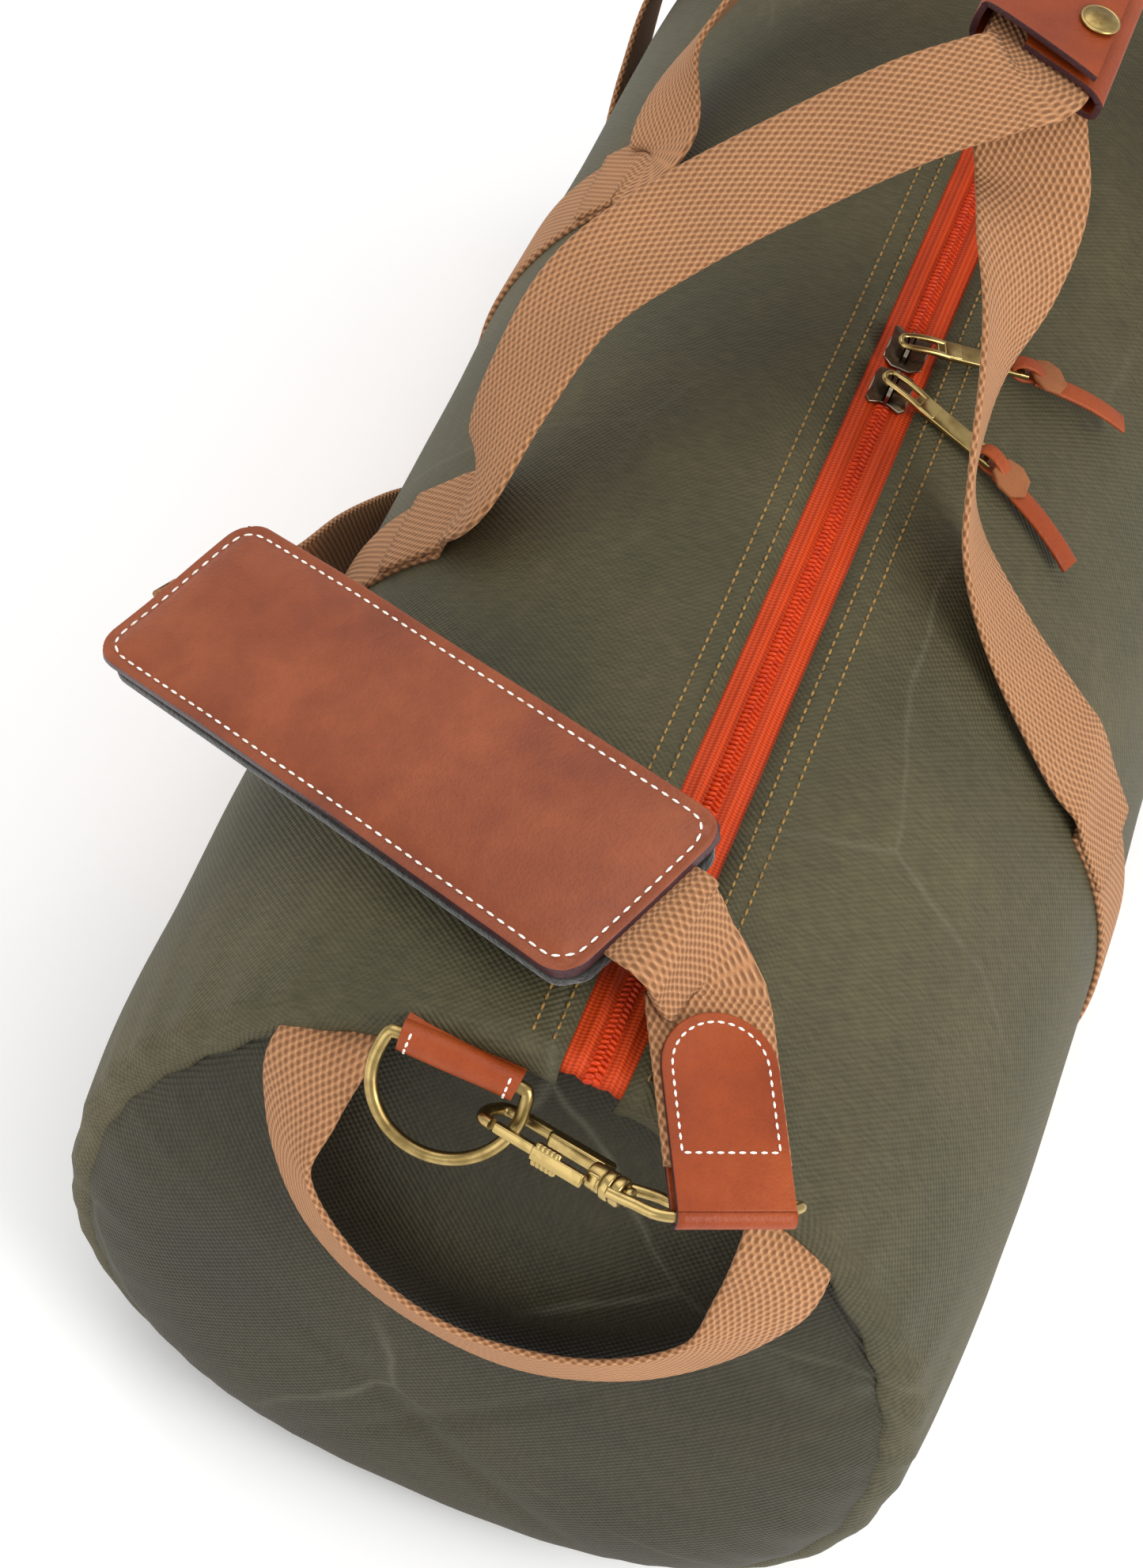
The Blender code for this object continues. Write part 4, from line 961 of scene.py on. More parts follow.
right_near = [((-0.092, -0.0930, 0.2290), (-0.1, -0.80, 0.6)),
              ((-0.081, -0.0640, 0.2480), (0.0, -0.88, 0.5)),
              ((-0.070, -0.0430, 0.2660), (0.15, -0.90, 0.42)),
              ((-0.057, -0.0330, 0.2810), (0.28, -0.92, 0.36)),
              ((-0.038, -0.0270, 0.2950), (0.26, -0.92, 0.40)),
              ((-0.019, -0.0230, 0.3067), (0.10, -0.84, 0.54)),
              ((0.0039, -0.0195, 0.3164), (-0.16, -0.50, 0.82)),
              ((0.0255, -0.0147, 0.3249), (-0.30, -0.10, 0.94)),
              ((0.0375, -0.0059, 0.3374), (-0.25, 0, 0.97))]
right_far = [((0.184, -0.0060, 0.3410), (0.3, 0.0, 0.95)), ((0.200, -0.0400, 0.3170), (0.75, -0.4, 0.5)),
             ((0.180, -0.0830, 0.2780), (0.6, -0.65, 0.45)), ((0.128, -0.1110, 0.236), (0.35, -0.8, 0.45))]
for name, side, level, near_leg, far_leg in (("left", 1, GRIP_Z + 0.0016, left_near, left_far),
                                             ("right", -1, GRIP_Z - 0.0016, right_near, right_far)):
    made = strap("carry_handle_" + name, handle_route(side, level, near_leg, far_leg), None,
                 ["handle_" + name])
    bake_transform(made)

# %% End grab handles
END_WIDE = STRAP_WIDE * 0.80


def end_route(side):
    out, leg = SEAM + 0.0033, 0.069
    knots = [(-0.0148, 0.99, 0.878, (0.15, 0.48, 0.86)), (-0.0065, 1.00, 0.874, (0.30, 0.46, 0.84)),
             (0.0005, 1.03, 0.860, (0.70, 0.45, 0.55)), (0.0075, 1.05, 0.815, (0.88, 0.46, 0.1)),
             (0.0155, 1.00, 0.734, (0.60, 0.78, 0.1)), (0.0215, 0.73, 0.648, (0.80, 0.52, -0.22)),
             (0.0240, 0.33, 0.588, (0.88, 0.16, -0.40)), (0.0240, -0.14, 0.580, (0.90, -0.1, -0.36)),
             (0.0215, -0.58, 0.633, (0.80, -0.52, -0.18)), (0.0155, -0.90, 0.719, (0.62, -0.74, 0.15)),
             (0.0080, -1.00, 0.800, (0.84, -0.46, 0.25)), (0.0005, -1.00, 0.858, (0.65, -0.42, 0.6)),
             (-0.0065, -0.98, 0.876, (0.30, -0.44, 0.84)), (-0.0148, -0.97, 0.880, (0.15, -0.46, 0.86))]
    return [(Vector((side * (out + away), leg * y, HEIGHT * z)), Vector((side * f[0], f[1], f[2])))
            for away, y, z, f in knots]


for side, end in ((-1, "near"), (1, "far")):
    strap("grab_handle_" + end, end_route(side), "bag", ["end_handle_" + end], wide=END_WIDE)

# %% [markdown]
# ## Fittings on the ends
# A D-ring of round brass wire hangs in a rolled leather tab at each end, and the shoulder
# strap's snap hook is clipped round it.

# %% D-rings and their tabs
RING_WIRE, RING_ARC, RING_DROP = 0.0020, 0.0215, 0.008


def ring_frame(side):
    centre = Vector((side * (SEAM + 0.0048), 0.035, HEIGHT - 0.0115))
    return centre, Vector((0, -1, 0)), Vector((side * 0.55, 0, -0.835)).normalized()


def ring_point(side, degrees):
    centre, across, down = ring_frame(side)
    turn = math.radians(degrees)
    return centre + across * RING_ARC * math.cos(turn) + down * (RING_DROP + RING_ARC * math.sin(turn))


for side, end in ((-1, "near"), (1, "far")):
    centre, across, down = ring_frame(side)
    corner = 0.0034
    knots = [centre + across * s for s in (-RING_ARC + corner, -0.010, 0.0, 0.010, RING_ARC - corner)]
    knots.append(centre + across * (RING_ARC - 0.0009) + down * 0.0014)
    knots += [ring_point(side, a) for a in range(0, 181, 15)]
    knots.append(centre - across * (RING_ARC - 0.0009) + down * 0.0014)
    shape = round_wire(knots, RING_WIRE, per_span=5, sides=16, closed=True, facing=across.cross(down))
    finish_piece("d_ring_wire_" + end, shape, BRASS, "ring_" + end, ["d_ring_" + end])

    tube = []
    for i in range(17):
        turn = math.radians(-200 + 320 * i / 16)
        tube.append(centre + Vector((side * math.cos(turn), 0, math.sin(turn))) * 0.0036)
    tail = centre + Vector((-side * 0.0075, 0, 0.0005))
    half = 0.0175

    def lay_tab(u, v):
        y = (u - 0.5) * 2 * half
        i = v * 24
        if i < 4:
            point = tail.lerp(tube[0], i / 4)
        elif i > 20:
            point = tube[-1].lerp(tail + Vector((0, 0, -0.003)), (i - 20) / 4)
        else:
            k = (i - 4)
            point = tube[min(16, round(k))]
        lean = 0.0004 * noise.noise(Vector((y * 60, v * 4, side)))
        return Vector((point.x, centre.y + y * (1 + 0.02 * math.sin(v * 9)), point.z + lean)), (y, v * 0.03)

    shape = laid_grid(26, 24, lay_tab)
    bmesh.ops.recalc_face_normals(shape, faces=shape.faces)
    outer = min(shape.faces, key=lambda f: -f.calc_center_median().x * side)
    if outer.normal.x * side < 0:
        bmesh.ops.reverse_faces(shape, faces=shape.faces)
    tab = finish_piece("ring_tab_" + end, shape, [HIDE, EDGE], "bag", ["d_ring_tab_" + end])
    wall = tab.modifiers.new("hide_thickness", "SOLIDIFY")
    wall.thickness, wall.offset, wall.material_offset_rim = 0.0015, 0.2, 1
    soften = tab.modifiers.new("soft_edge", "BEVEL")
    soften.width, soften.segments, soften.limit_method = 0.0004, 2, "ANGLE"
    rows = []
    for y in (-half + 0.0028, half - 0.0028):
        row = []
        for i in range(20):
            turn = math.radians(75 - 190 * i / 19)
            way = Vector((side * math.cos(turn), 0, math.sin(turn)))
            row.append((centre + way * 0.0045 + Vector((0, y, 0)), way))
        rows.append(row)
    stitches("ring_tab_stitching_" + end, rows, WHITE_THREAD, "bag", pitch=0.0027, long=0.0021)

# %% [markdown]
# ## Snap hooks
# Each hook is a cast claw whose mouth is shut by a sliding bolt with a ribbed thumb piece, and
# it swivels on a round head held in its eye. The eye passes through the strap's leather tab.

# %% Snap hooks
def frame_from(along, near_to):
    along = Vector(along).normalized()
    out = Vector(near_to)
    out = (out - along * out.dot(along)).normalized()
    return along, out, along.cross(out)


def hook_set(side, end):
    def turned(x, y, z):
        return Vector((-side * x, y, z))

    along, out, third = frame_from(turned(-0.293, -0.922, 0.255), turned(-0.835, 0, 0.55))
    window = ring_point(side, 8)
    a, b = 0.0070, 0.0055

    def at(p, q, r=0.0):
        return window + along * p + out * q + third * r

    # the claw: a round bar that thins to its nose, bent round the ring
    claw = [at(a + 0.004, -b - 0.0017), at(a - 0.003, -b - 0.0019), at(-a + 0.004, -b - 0.0018),
            at(-a - 0.0004, -b - 0.0002), at(-a - 0.0019, -b + 0.0042), at(-a - 0.0018, b - 0.0030),
            at(-a - 0.0003, b + 0.0004), at(-a + 0.0030, b + 0.0012)]
    claw_bar = round_wire(claw, 0.0019, per_span=6, sides=14, facing=third,
                          scale=lambda s: (1.12 - 0.10 * s, 1.05 - 0.12 * s))
    shank = slab(rounded(0.0105, 0.0024, 0.0016), 0.0044, bevel=0.0009, segments=3, start=-0.0022)
    put(shank, at(a + 0.0115, -b - 0.0002), along, out)
    cheek = slab(rounded(0.0022, 0.0050, 0.0012), 0.0046, bevel=0.0008, segments=3, start=-0.0023)
    put(cheek, at(a + 0.0215, 0.0008), along, out)
    barrel = slab(disc(0.0040, 24), 0.0052, bevel=0.0009, segments=3)
    put(barrel, at(a + 0.0190, 0.0016), out, third)
    rail = slab(rounded(0.0085, 0.0009, 0.0006), 0.0040, bevel=0.0004, start=-0.0020)
    put(rail, at(a + 0.0120, b + 0.0030), along, out)
    head = slab(disc(0.0029, 20), 0.0020, bevel=0.0007, segments=3)
    put(head, at(a + 0.0310, 0.0022), out, third)
    neck = slab(disc(0.0017, 16), 0.0080)
    put(neck, at(a + 0.0240, 0.0022), out, third)
    finish_piece("snap_hook_cast_" + end, merged(claw_bar, shank, cheek, barrel, head, neck), BRASS,
                 "snap_hook_" + end, ["hook_" + end], sharp=50)

    bolt = slab(rounded(0.0084, 0.0013, 0.0009), 0.0030, bevel=0.0005, start=-0.0015)
    put(bolt, at(a - 0.0018, b + 0.0013), along, out)
    ribs = []
    for i in range(5):
        rib = slab(disc(0.0012, 14), 0.0068, bevel=0.0005, start=-0.0034)
        put(rib, at(a + 0.0052 + i * 0.0015, b + 0.0026), along, out)
        ribs.append(rib)
    finish_piece("snap_bolt_cast_" + end, merged(bolt, rail, *ribs), BRASS, "bolt_" + end,
                 ["hook_bolt_" + end], sharp=50)

    # the eye: a collar on the hook's head and a square loop through the tab
    bar = ring_frame(side)[0] + turned(-0.0137, -0.084, 0.006)
    way, face, wide = frame_from(turned(0.0575, 0.0310, 0.0120), turned(-0.15, -0.12, 0.98))
    wide = wide if wide.y < 0 else -wide
    collar = merged(*[put(slab(disc(0.0044, 24), 0.0030, bevel=0.0008, segments=3),
                          at(a + start, 0.0022), out, third) for start in (0.0243, 0.0275)])
    root = at(a + 0.0274, 0.0022)
    half = 0.0190
    first, last = bar - wide * half, bar + wide * (half - 0.0058)
    drop = -out * 0.0115
    loop = round_wire([root + out * 0.0036, first * 0.42 + (root + out * 0.0048) * 0.58, first, bar, last,
                       last + wide * 0.0006 + drop * 0.5, last + drop, bar + drop, first + drop,
                       (first + drop) * 0.5 + (root - out * 0.0048) * 0.5, root - out * 0.0036],
                      0.0017, per_span=6, sides=12, facing=-out)
    finish_piece("snap_eye_cast_" + end, merged(collar, loop), BRASS, "eye_" + end,
                 ["hook_eye_" + end], sharp=50)
    return bar, way, face, wide


strap_ends = {end: hook_set(side, end) for side, end in ((-1, "near"), (1, "far"))}
print("hooks cast")

# %% [markdown]
# ## The strap's leather ends
# A tongue of leather folds round the eye and is sewn through the webbing, with a round tip.

# %% Strap tabs
TAB_LONG, TAB_WIDE = 0.058, 0.034


def tongue(length, half, tip=14):
    """A tongue's outline: square at the fold, round at the tip."""
    outline = [(0.0, -half)]
    for i in range(tip + 1):
        turn = math.radians(-90 + 180 * i / tip)
        outline.append((length - half * 0.95 + half * 0.95 * math.cos(turn), half * math.sin(turn)))
    return outline + [(0.0, half)]


tips = {}
for side, end in ((-1, "near"), (1, "far")):
    bar, way, face, wide = strap_ends[end]
    leaf = TAB_LONG - 0.001
    layers = []
    for level, thick in ((0.0016, 0.0020), (-0.0036, 0.0018)):
        leather = slab(tongue(leaf, TAB_WIDE / 2), thick, bevel=0.0006, segments=3, start=level)
        for f in leather.faces:
            f.material_index = 1 if abs(f.normal.z) < 0.55 else 0
        put(leather, bar, way, face.cross(way))
        layers.append(leather)

    def lay_fold(u, v):
        turn = math.radians(90 + 180 * u)
        spot = bar + way * math.cos(turn) * 0.0036 + face * math.sin(turn) * 0.0034
        return spot + wide * (v - 0.5) * TAB_WIDE, (u * 0.012, v * TAB_WIDE)

    bend = laid_grid(14, 14, lay_fold)
    tab = finish_piece("strap_tab_leather_" + end, merged(*layers), [HIDE, EDGE], "bag",
                       ["strap_tab_" + end], sharp=45)
    bmesh.ops.recalc_face_normals(bend, faces=bend.faces)
    if sum(f.normal.dot(f.calc_center_median() - bar) for f in bend.faces) < 0:
        bmesh.ops.reverse_faces(bend, faces=bend.faces)
    turn_piece = finish_piece("strap_tab_fold_" + end, bend, [HIDE, EDGE], "bag")
    wall = turn_piece.modifiers.new("hide_thickness", "SOLIDIFY")
    wall.thickness, wall.offset, wall.material_offset_rim = 0.0018, -1, 1
    inset, first_row = 0.0030, 0.0165
    half = TAB_WIDE / 2 - inset

    def on_tab(a, b):
        return bar + way * a + face.cross(way) * b + face * 0.0036, face

    spots = [on_tab(max(a, first_row), b) for a, b in tongue(leaf - inset, half)]
    across_run = [on_tab(first_row, half * (1 - 2 * i / 8)) for i in range(9)]
    stitches("strap_tab_stitching_" + end, [spots, across_run], WHITE_THREAD, "bag",
             pitch=0.0030, long=0.0023, radius=0.00034)
    tips[end] = (bar + way * TAB_LONG, way, face)

# %% [markdown]
# ## Shoulder pad and strap
# The pad is a stuffed leather slab over felt: crowned along its middle, pulled down along the
# stitched edge, and bowed a little because the strap under it is stiff. One height formula
# gives the crown, the stitched groove and the bow.

# %% Pad
PAD_LONG, PAD_WIDE = 0.208, 0.066
pad_along, pad_out, pad_across = frame_from((0.446, 0.825, -0.346), (-0.12, 0.36, 0.92))
pad_middle = tips["near"][0] + Vector((0.0098, 0.0259, 0.0185)) + pad_along * PAD_LONG / 2


def pad_point(a, b, c):
    """A point of the pad: a along it, b across it, c above the webbing's middle."""
    return pad_middle + pad_along * a + pad_across * b + pad_out * c


def pad_shape(a, b):
    """How the leather lies: crowned between its stitched edges, and bowed along its length."""
    edge = min(PAD_LONG / 2 - abs(a), PAD_WIDE / 2 - abs(b))
    crown = 0.0016 * (1 - math.exp(-max(0.0, edge - 0.004) / 0.008))
    groove = 0.0006 * math.exp(-((edge - 0.0036) / 0.0012) ** 2)
    bow = -0.0022 * (a / (PAD_LONG / 2)) ** 2
    wave = 0.0008 * noise.noise(Vector((a * 22, b * 30, 1.7)))
    return crown - groove + bow + wave


def pad_sheet(cut_long, cut_wide):
    """A grid of leather trimmed to round corners: corner points slide in along an ellipse."""
    def place(u, v):
        a, b = (u - 0.5) * PAD_LONG * cut_long, (v - 0.5) * PAD_WIDE * cut_wide
        corner = 0.010
        over_a = abs(a) - (PAD_LONG * cut_long / 2 - corner)
        over_b = abs(b) - (PAD_WIDE * cut_wide / 2 - corner)
        if over_a > 0 and over_b > 0:
            reach = math.hypot(over_a, over_b)
            fit = max(over_a, over_b) / reach
            a = math.copysign(abs(a) - over_a + over_a * fit, a)
            b = math.copysign(abs(b) - over_b + over_b * fit, b)
        return a, b
    return place


def pad_piece(name, cut_long, cut_wide, thick, level, stuff, node, shaped=1.0):
    lay = pad_sheet(cut_long, cut_wide)

    def place(u, v):
        a, b = lay(u, v)
        return pad_point(a, b, level + pad_shape(a, b) * shaped), (a, b)

    shape = laid_grid(120, 44, place)
    if sum(f.normal.dot(pad_out) for f in list(shape.faces)[:50]) < 0:
        bmesh.ops.reverse_faces(shape, faces=shape.faces)
    made = finish_piece(name, shape, stuff, "bag", [node])
    wall = made.modifiers.new("thickness", "SOLIDIFY")
    wall.thickness, wall.offset = thick, -1
    wall.material_offset_rim = 1
    soften = made.modifiers.new("rounded_edge", "BEVEL")
    soften.width, soften.segments, soften.limit_method = 0.0008, 3, "ANGLE"
    return made


pad_top = pad_piece("pad_leather_face", 1.0, 1.0, 0.0034, 0.0058, [PAD_HIDE, EDGE], "pad_leather")
pad_under = pad_piece("pad_felt_back", 0.985, 0.965, 0.0038, -0.0022, [FELT, FELT], "pad_felt",
                      shaped=0.3)
inset = 0.0036
corners = rounded(PAD_LONG / 2 - inset, PAD_WIDE / 2 - inset, 0.0075, 8)
outline = []
for (a, b), (c, d) in zip(corners, corners[1:] + corners[:1]):
    pieces = max(1, round(math.hypot(c - a, d - b) / 0.004))
    outline += [(a + (c - a) * i / pieces, b + (d - b) * i / pieces) for i in range(pieces)]
outline.append(outline[0])
seam = [(pad_point(a, b, 0.0061 + pad_shape(a, b)), pad_out) for a, b in outline]
stitches("pad_stitching", [seam], WHITE_THREAD, "bag", pitch=0.0042, long=0.0031, radius=0.00036)

# %% Shoulder strap
near_tip, near_way, near_face = tips["near"]
far_tip, far_way, far_face = tips["far"]
half = PAD_LONG / 2
pad_end = pad_middle + pad_along * half
pad_start = pad_middle - pad_along * half
halfway = (near_tip + near_way * 0.0095) * 0.5 + (pad_start - pad_along * 0.009) * 0.5
route = [(near_tip - near_way * 0.044, near_face), (near_tip - near_way * 0.020, near_face),
         (near_tip + near_way * 0.0020, near_face),
         (near_tip + near_way * 0.0085, Vector((-0.15, -0.35, 0.92))),
         (halfway, Vector((-0.25, -0.75, 0.6))),
         (pad_start - pad_along * 0.0105 - pad_out * 0.0020, Vector((-0.25, -0.25, 0.93)))]
route += [(pad_middle + pad_along * half * share, pad_out)
          for share in (-1.06, -1.01, -0.95, -0.3, 0.2, 0.7, 0.92, 0.98)]
route += [(pad_end + pad_along * 0.0012 - pad_out * 0.0032, pad_along * 0.75 + pad_out * 0.65),
          (pad_end + pad_along * 0.0030 - pad_out * 0.0110, pad_along),
          (pad_end + pad_along * 0.0010 - pad_out * 0.0200, pad_along * 0.5 - pad_out * 0.85)]
for x, y, z, face in ((-0.500, 1.186, 0.684, (-0.3, 0.6, -0.7)), (-0.427, 1.129, 0.625, (-0.35, 0.85, -0.4)),
                      (-0.333, 1.107, 0.560, (-0.2, 0.97, -0.1)), (-0.200, 1.080, 0.480, (-0.05, 1.0, -0.1)),
                      (-0.067, 1.030, 0.380, (0, 0.98, -0.2)), (0.067, 0.975, 0.270, (0, 0.95, -0.3)),
                      (0.200, 0.945, 0.195, (0, 0.93, -0.36)), (0.340, 0.940, 0.175, (0, 0.93, -0.37)),
                      (0.520, 0.940, 0.175, (0, 0.93, -0.37)), (0.690, 0.945, 0.190, (0, 0.93, -0.36)),
                      (0.810, 0.985, 0.270, (0.05, 0.96, -0.28)), (0.880, 1.035, 0.410, (0.05, 0.99, -0.1)),
                      (0.912, 1.040, 0.590, (0.05, 0.97, 0.2)), (0.918, 0.930, 0.770, (0.05, 0.85, 0.5)),
                      (0.897, 0.690, 0.915, (0.08, 0.6, 0.8)), (0.872, 0.390, 1.010, (0.1, 0.3, 0.95)),
                      (0.850, 0.110, 1.047, (0.15, 0.0, 1.0))):
    route.append((Vector((x * SEAM, y * WIDTH / 2, z * HEIGHT)), Vector(face)))
route += [(far_tip + far_way * 0.0110, far_face), (far_tip + far_way * 0.0020, far_face),
          (far_tip - far_way * 0.020, far_face), (far_tip - far_way * 0.044, far_face)]
strap("shoulder_strap", route, "bag", ["strap_webbing"], wide=STRAP_WIDE * 0.97)

# %% [markdown]
# ## The hand wrap
# A leather sleeve folds round both handles and closes with two snaps, so one hand can carry
# the bag. Its flap opens about the fold.

# %% Hand wrap
WRAP_LOW = 0.34199
HIDE_THICK = 0.0022
WRAP_SKEW = 0.30          # the wrap sits a little askew on the handles


def wrap_section(side_half, low, top):
    """The sleeve's curve in the (y, z) plane, from its hidden lip round below to the fold."""
    half = side_half
    return [(0.006, top - 0.0036), (-half + 0.008, top - 0.0034), (-half + 0.0012, top - 0.0058),
            (-half, (low + top) / 2 - 0.001), (-half + 0.0015, low + 0.0012),
            (-half + 0.008, low), (0.0, low - 0.0003),
            (half - 0.008, low), (half - 0.0012, low + 0.0015), (half, (low + top) / 2),
            (half - 0.0006, top - 0.0012)]


def leather_strip(name, knots, x_low, x_high, body, nodes, inside, per_span=5, thick=HIDE_THICK, columns=40):
    path = smooth_path([Vector((0, y, z)) for y, z in knots], per_span)

    def place(u, v):
        point = path[round(v * (len(path) - 1))]
        x = x_low + (x_high - x_low) * u + WRAP_SKEW * point.y
        ease = 0.0009 * noise.noise(Vector((x * 30, point.y * 30, point.z * 30)))
        return Vector((x, point.y, point.z + ease)), (x, v * 0.1)

    shape = laid_grid(columns, len(path) - 1, place)
    away = 0.0
    for f in shape.faces:
        middle = f.calc_center_median()
        away += f.normal.dot(middle - Vector((middle.x, *inside)))
    if away < 0:
        bmesh.ops.reverse_faces(shape, faces=shape.faces)
    made = finish_piece(name, shape, [HIDE, EDGE], body, nodes)
    wall = made.modifiers.new("hide_thickness", "SOLIDIFY")
    wall.thickness, wall.offset, wall.material_offset_rim = thick, -1, 1
    soften = made.modifiers.new("soft_edge", "BEVEL")
    soften.width, soften.segments, soften.limit_method = 0.0006, 3, "ANGLE"
    return made


x_low, x_high = GRIP_X - GRIP_LONG / 2, GRIP_X + GRIP_LONG / 2
section = wrap_section(0.0240, WRAP_LOW, 0.3570)
leather_strip("hand_wrap_sleeve", section, x_low, x_high, "grip", ["wrap_base"], (0.0, 0.3475))
flap = [(0.0236, 0.3562), (0.0215, 0.3582), (0.0150, 0.3588), (0.0, 0.3590), (-0.0120, 0.3588),
        (-0.0185, 0.3582)]
leather_strip("hand_wrap_flap", flap, x_low, x_high, "flap", ["wrap_flap"], (0.0, 0.34))
for side, end in ((-1, "near"), (1, "far")):
    centre = Vector((GRIP_X + side * 0.030 - WRAP_SKEW * 0.0125, -0.0125, 0))
    dome = bmesh.new()
    dome.loops.layers.uv.new("laid")
    bmesh.ops.create_uvsphere(dome, u_segments=32, v_segments=16, radius=1)
    bmesh.ops.bisect_plane(dome, geom=dome.verts[:] + dome.edges[:] + dome.faces[:], plane_co=(0, 0, 0),
                           plane_no=(0, 0, -1), clear_outer=True)
    bmesh.ops.holes_fill(dome, edges=[e for e in dome.edges if e.is_boundary], sides=0)
    bmesh.ops.transform(dome, matrix=Matrix.Translation(centre + Vector((0, 0, 0.3592)))
                        @ Matrix.Diagonal((0.0062, 0.0062, 0.0021, 1)), verts=dome.verts)
    rim = round_wire([centre + Vector((0.0060 * math.cos(t), 0.0060 * math.sin(t), 0.3596))
                      for t in (math.tau * i / 12 for i in range(12))], 0.0006, per_span=4,
                     sides=8, closed=True)
    finish_piece("snap_cap_dome_" + end, merged(dome, rim), BRASS, "flap",
                 ["snap_cap_" + end], sharp=50)
    for node in ("snap_socket_" + end, "snap_stud_" + end):
        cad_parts[node].data.materials.clear()
        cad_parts[node].data.materials.append(BRASS)
print("hand wrap closed")

# %% [markdown]
# ## Zip sliders and pulls
# Two sliders meet head to head. Each has a shield-shaped top plate with raised wings, a bridge
# that the pull hangs from, a brass bar and a leather strip looped round the bar at its tip.

# %% Sliders
def slider_piece(side, end):
    x = side * 0.0098
    wing = [(-0.0090, 0.0030), (-0.0075, 0.0058), (-0.0040, 0.0066), (0.0, 0.0060), (0.0045, 0.0064),
            (0.0078, 0.0068), (0.0092, 0.0050), (0.0070, 0.0020), (0.0066, 0.0)]
    outline = [(a * side, b) for a, b in wing] + [(a * side, -b) for a, b in reversed(wing[:-1])]
    plates = []
    for level in (0.0014, -0.0030):
        plate = slab(outline, 0.0014, bevel=0.0004, segments=2, start=level)
        for vertex in plate.verts:
            if level > 0:
                vertex.co.z += 0.0013 * max(0.0, abs(vertex.co.y) - 0.0035) / 0.0033
        put(plate, (x, 0, ZIP_LEVEL), (1, 0, 0), (0, 1, 0))
        plates.append(plate)
    for sign in (1, -1):
        flange = slab(rounded(0.0050, 0.0007, 0.0004), 0.0012, bevel=0.0002, start=0.0003)
        put(flange, (x, sign * 0.0060, ZIP_LEVEL), (1, 0, 0), (0, 1, 0))
        plates.append(flange)
    top = ZIP_LEVEL + 0.0028
    arch = [Vector((x + a, 0, top + c)) for a, c in (
        (-0.0062, -0.0008), (-0.0058, 0.0028), (-0.0035, 0.0042), (0.0, 0.0044),
        (0.0035, 0.0042), (0.0058, 0.0028), (0.0062, -0.0008))]
    path = smooth_path(arch, 5)
    bridge = swept(frames_on(path, [Vector((0, 1, 0))] * len(path)), rounded_bar(0.0014, 0.0024, 3), 0.02)
    return finish_piece("slider_cast_" + end, merged(*plates, bridge), GUNMETAL, "slider_" + end,
                        ["zip_slider_" + end], sharp=45)


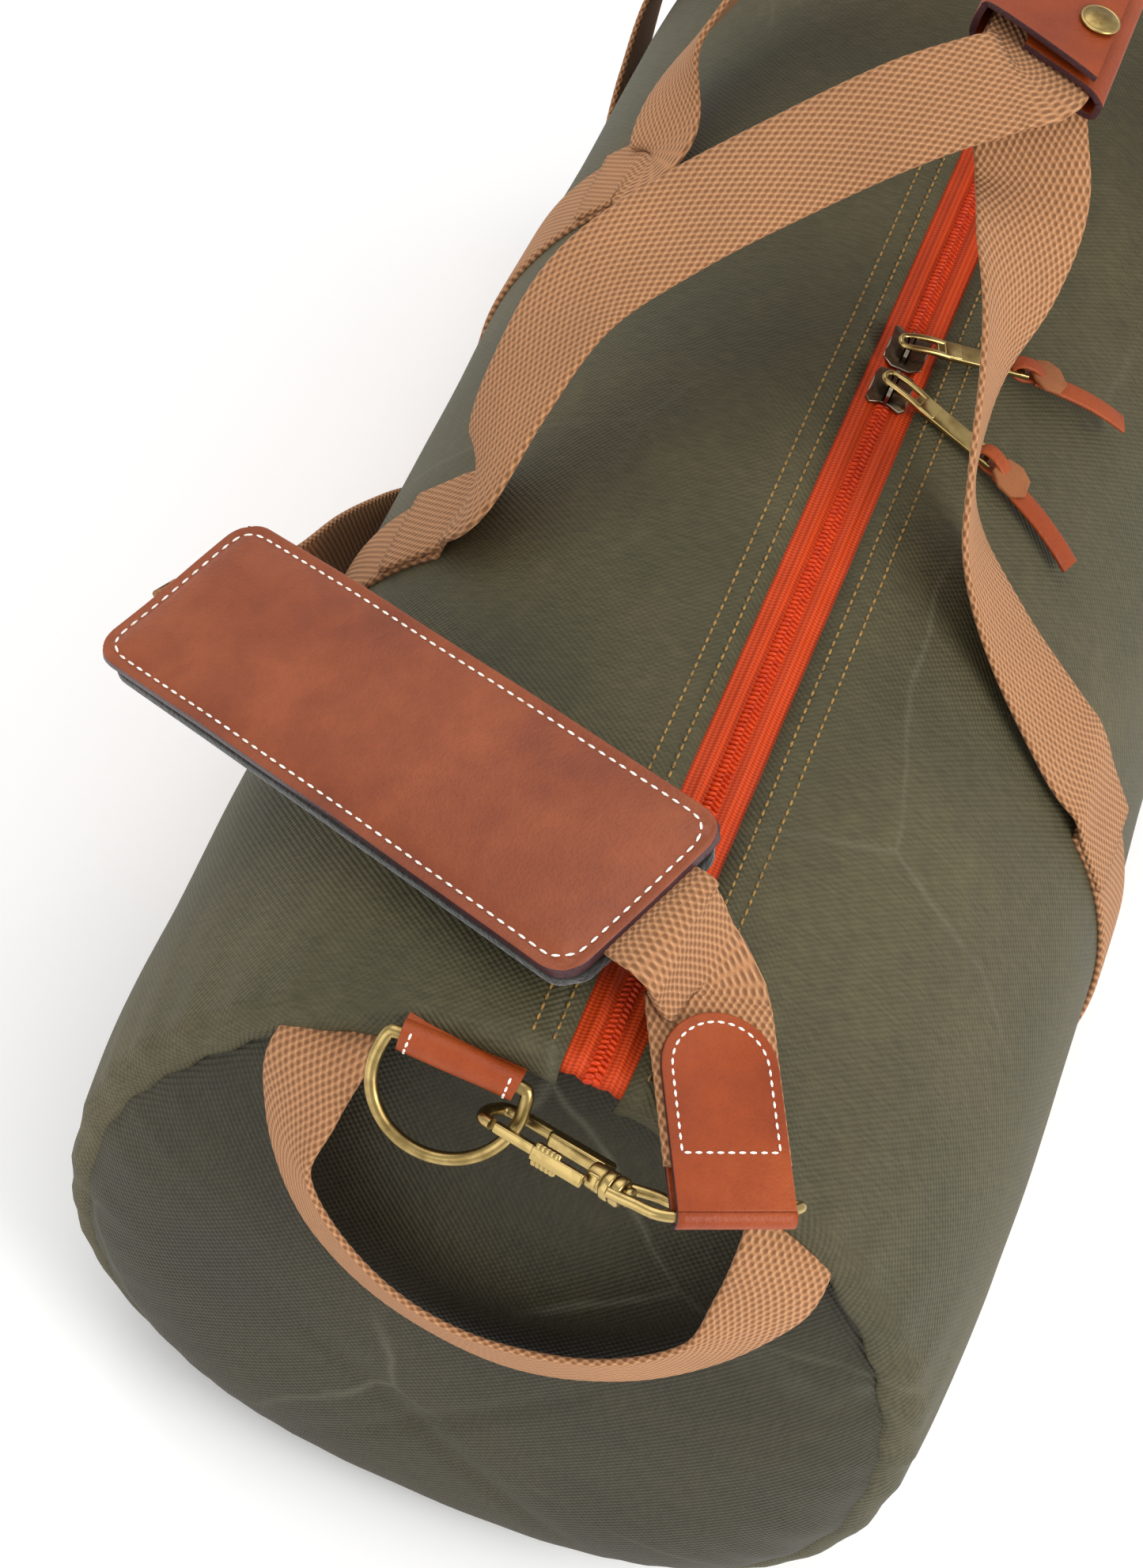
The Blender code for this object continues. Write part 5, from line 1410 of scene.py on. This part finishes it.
def pull_pieces(side, end):
    yaw, dip = (math.radians(a) for a in ((17, 5.264) if side < 0 else (-20, 5.008)))
    pivot = Vector((side * 0.0098, 0, 0.2606))
    along = Vector((-math.sin(yaw) * math.cos(dip), -math.cos(yaw) * math.cos(dip), -math.sin(dip)))
    flat = Vector((-math.cos(yaw), math.sin(yaw), 0))
    up = flat.cross(along).normalized()
    if up.z < 0:
        up = -up

    def at(a, b, c=0.0):
        return pivot + along * a + flat * b + up * c

    bent = ((0.0140, 0.0026, 0.0), (0.0080, 0.0027, 0.0006), (0.0020, 0.0027, 0.0004),
            (-0.0022, 0.0022, -0.0002), (-0.0034, 0.0, -0.0003), (-0.0022, -0.0022, -0.0002),
            (0.0020, -0.0027, 0.0004), (0.0080, -0.0027, 0.0006), (0.0140, -0.0026, 0.0))
    clevis = round_wire([at(*spot) for spot in bent], 0.0011, per_span=5, sides=10, facing=up)
    step = slab(rounded(0.0032, 0.0034, 0.0008), 0.0026, bevel=0.0005, start=-0.0013)
    put(step, at(0.0145, 0), along, flat)
    bar = slab(rounded(0.0125, 0.0036, 0.0008), 0.0018, bevel=0.0004, start=-0.0009)
    put(bar, at(0.0215, 0), along, flat)
    # the window at the tip is a frame of four short bars
    frame_bars = []
    for b in (0.0030, -0.0030):
        side_bar = slab(rounded(0.0048, 0.00062, 0.0004), 0.0017, bevel=0.0003, start=-0.00085)
        frame_bars.append(put(side_bar, at(0.0365, b), along, flat))
    tip_bar = slab(rounded(0.0011, 0.0036, 0.0006), 0.0019, bevel=0.0004, start=-0.00095)
    frame_bars.append(put(tip_bar, at(0.03885, 0), along, flat))
    finish_piece("pull_bar_" + end, merged(clevis, step, bar, *frame_bars), BRASS, "link_" + end,
                 ["pull_link_" + end], sharp=45)

    # leather: an arch over the tip bar, a leaf that the strip is drawn through, and a tail
    more = math.radians(13.94 if side < 0 else 13.225)
    pin = pivot + along * 0.03875
    way = (along * math.cos(more) - up * math.sin(more)).normalized()
    lift = flat.cross(way).normalized()
    if lift.z < 0:
        lift = -lift

    def on(a, b, c=0.0):
        return pin + way * a + flat * b + lift * c

    def strip(knots, wide, thick, lean=0.0):
        path = smooth_path([on(a, lean * a, c) for a, c in knots], 5)
        ways = []
        for i in range(len(path)):
            step = path[min(i + 1, len(path) - 1)] - path[max(i - 1, 0)]
            ways.append(step.normalized().cross(flat).normalized())
        return swept(frames_on(path, ways), rounded_bar(wide, thick, 4), 0.05)

    arch = strip([(0.0060, -0.0012), (0.0022, -0.0026), (-0.0012, -0.0022), (-0.0030, 0.0), (-0.0020, 0.0024),
                  (0.0015, 0.0034), (0.0060, 0.0026), (0.0095, 0.0008)], 0.0052, 0.0015)
    tail = strip([(0.0060, -0.0004), (0.0150, 0.0002), (0.0260, 0.0006), (0.0360, -0.0002),
                  (0.0435, -0.0016)], 0.0078, 0.0016, lean=0.05)
    finish_piece("pull_strip_" + end, merged(arch, tail), [HIDE, EDGE], "pull_" + end,
                 ["leather_pull_" + end], sharp=50)
    leaf_outline = [(0.0040, -0.0040), (0.0085, -0.0068), (0.0140, -0.0058), (0.0172, -0.0010),
                    (0.0150, 0.0050), (0.0100, 0.0066), (0.0050, 0.0046), (0.0030, 0.0)]
    leaf = slab(leaf_outline, 0.0015, bevel=0.0004, segments=2, start=0.0012)
    put(leaf, pin, way, lift.cross(way))
    finish_piece("pull_leaf_" + end, leaf, [SUEDE, EDGE], "pull_" + end, sharp=50)


for side, end in ((-1, "near"), (1, "far")):
    slider_piece(side, end)
    pull_pieces(side, end)
print("zip pulls hung")

# %% Frame nodes that still show
shown = [o.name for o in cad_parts.values() if not o.hide_render]
print("frame nodes still shown:", shown)
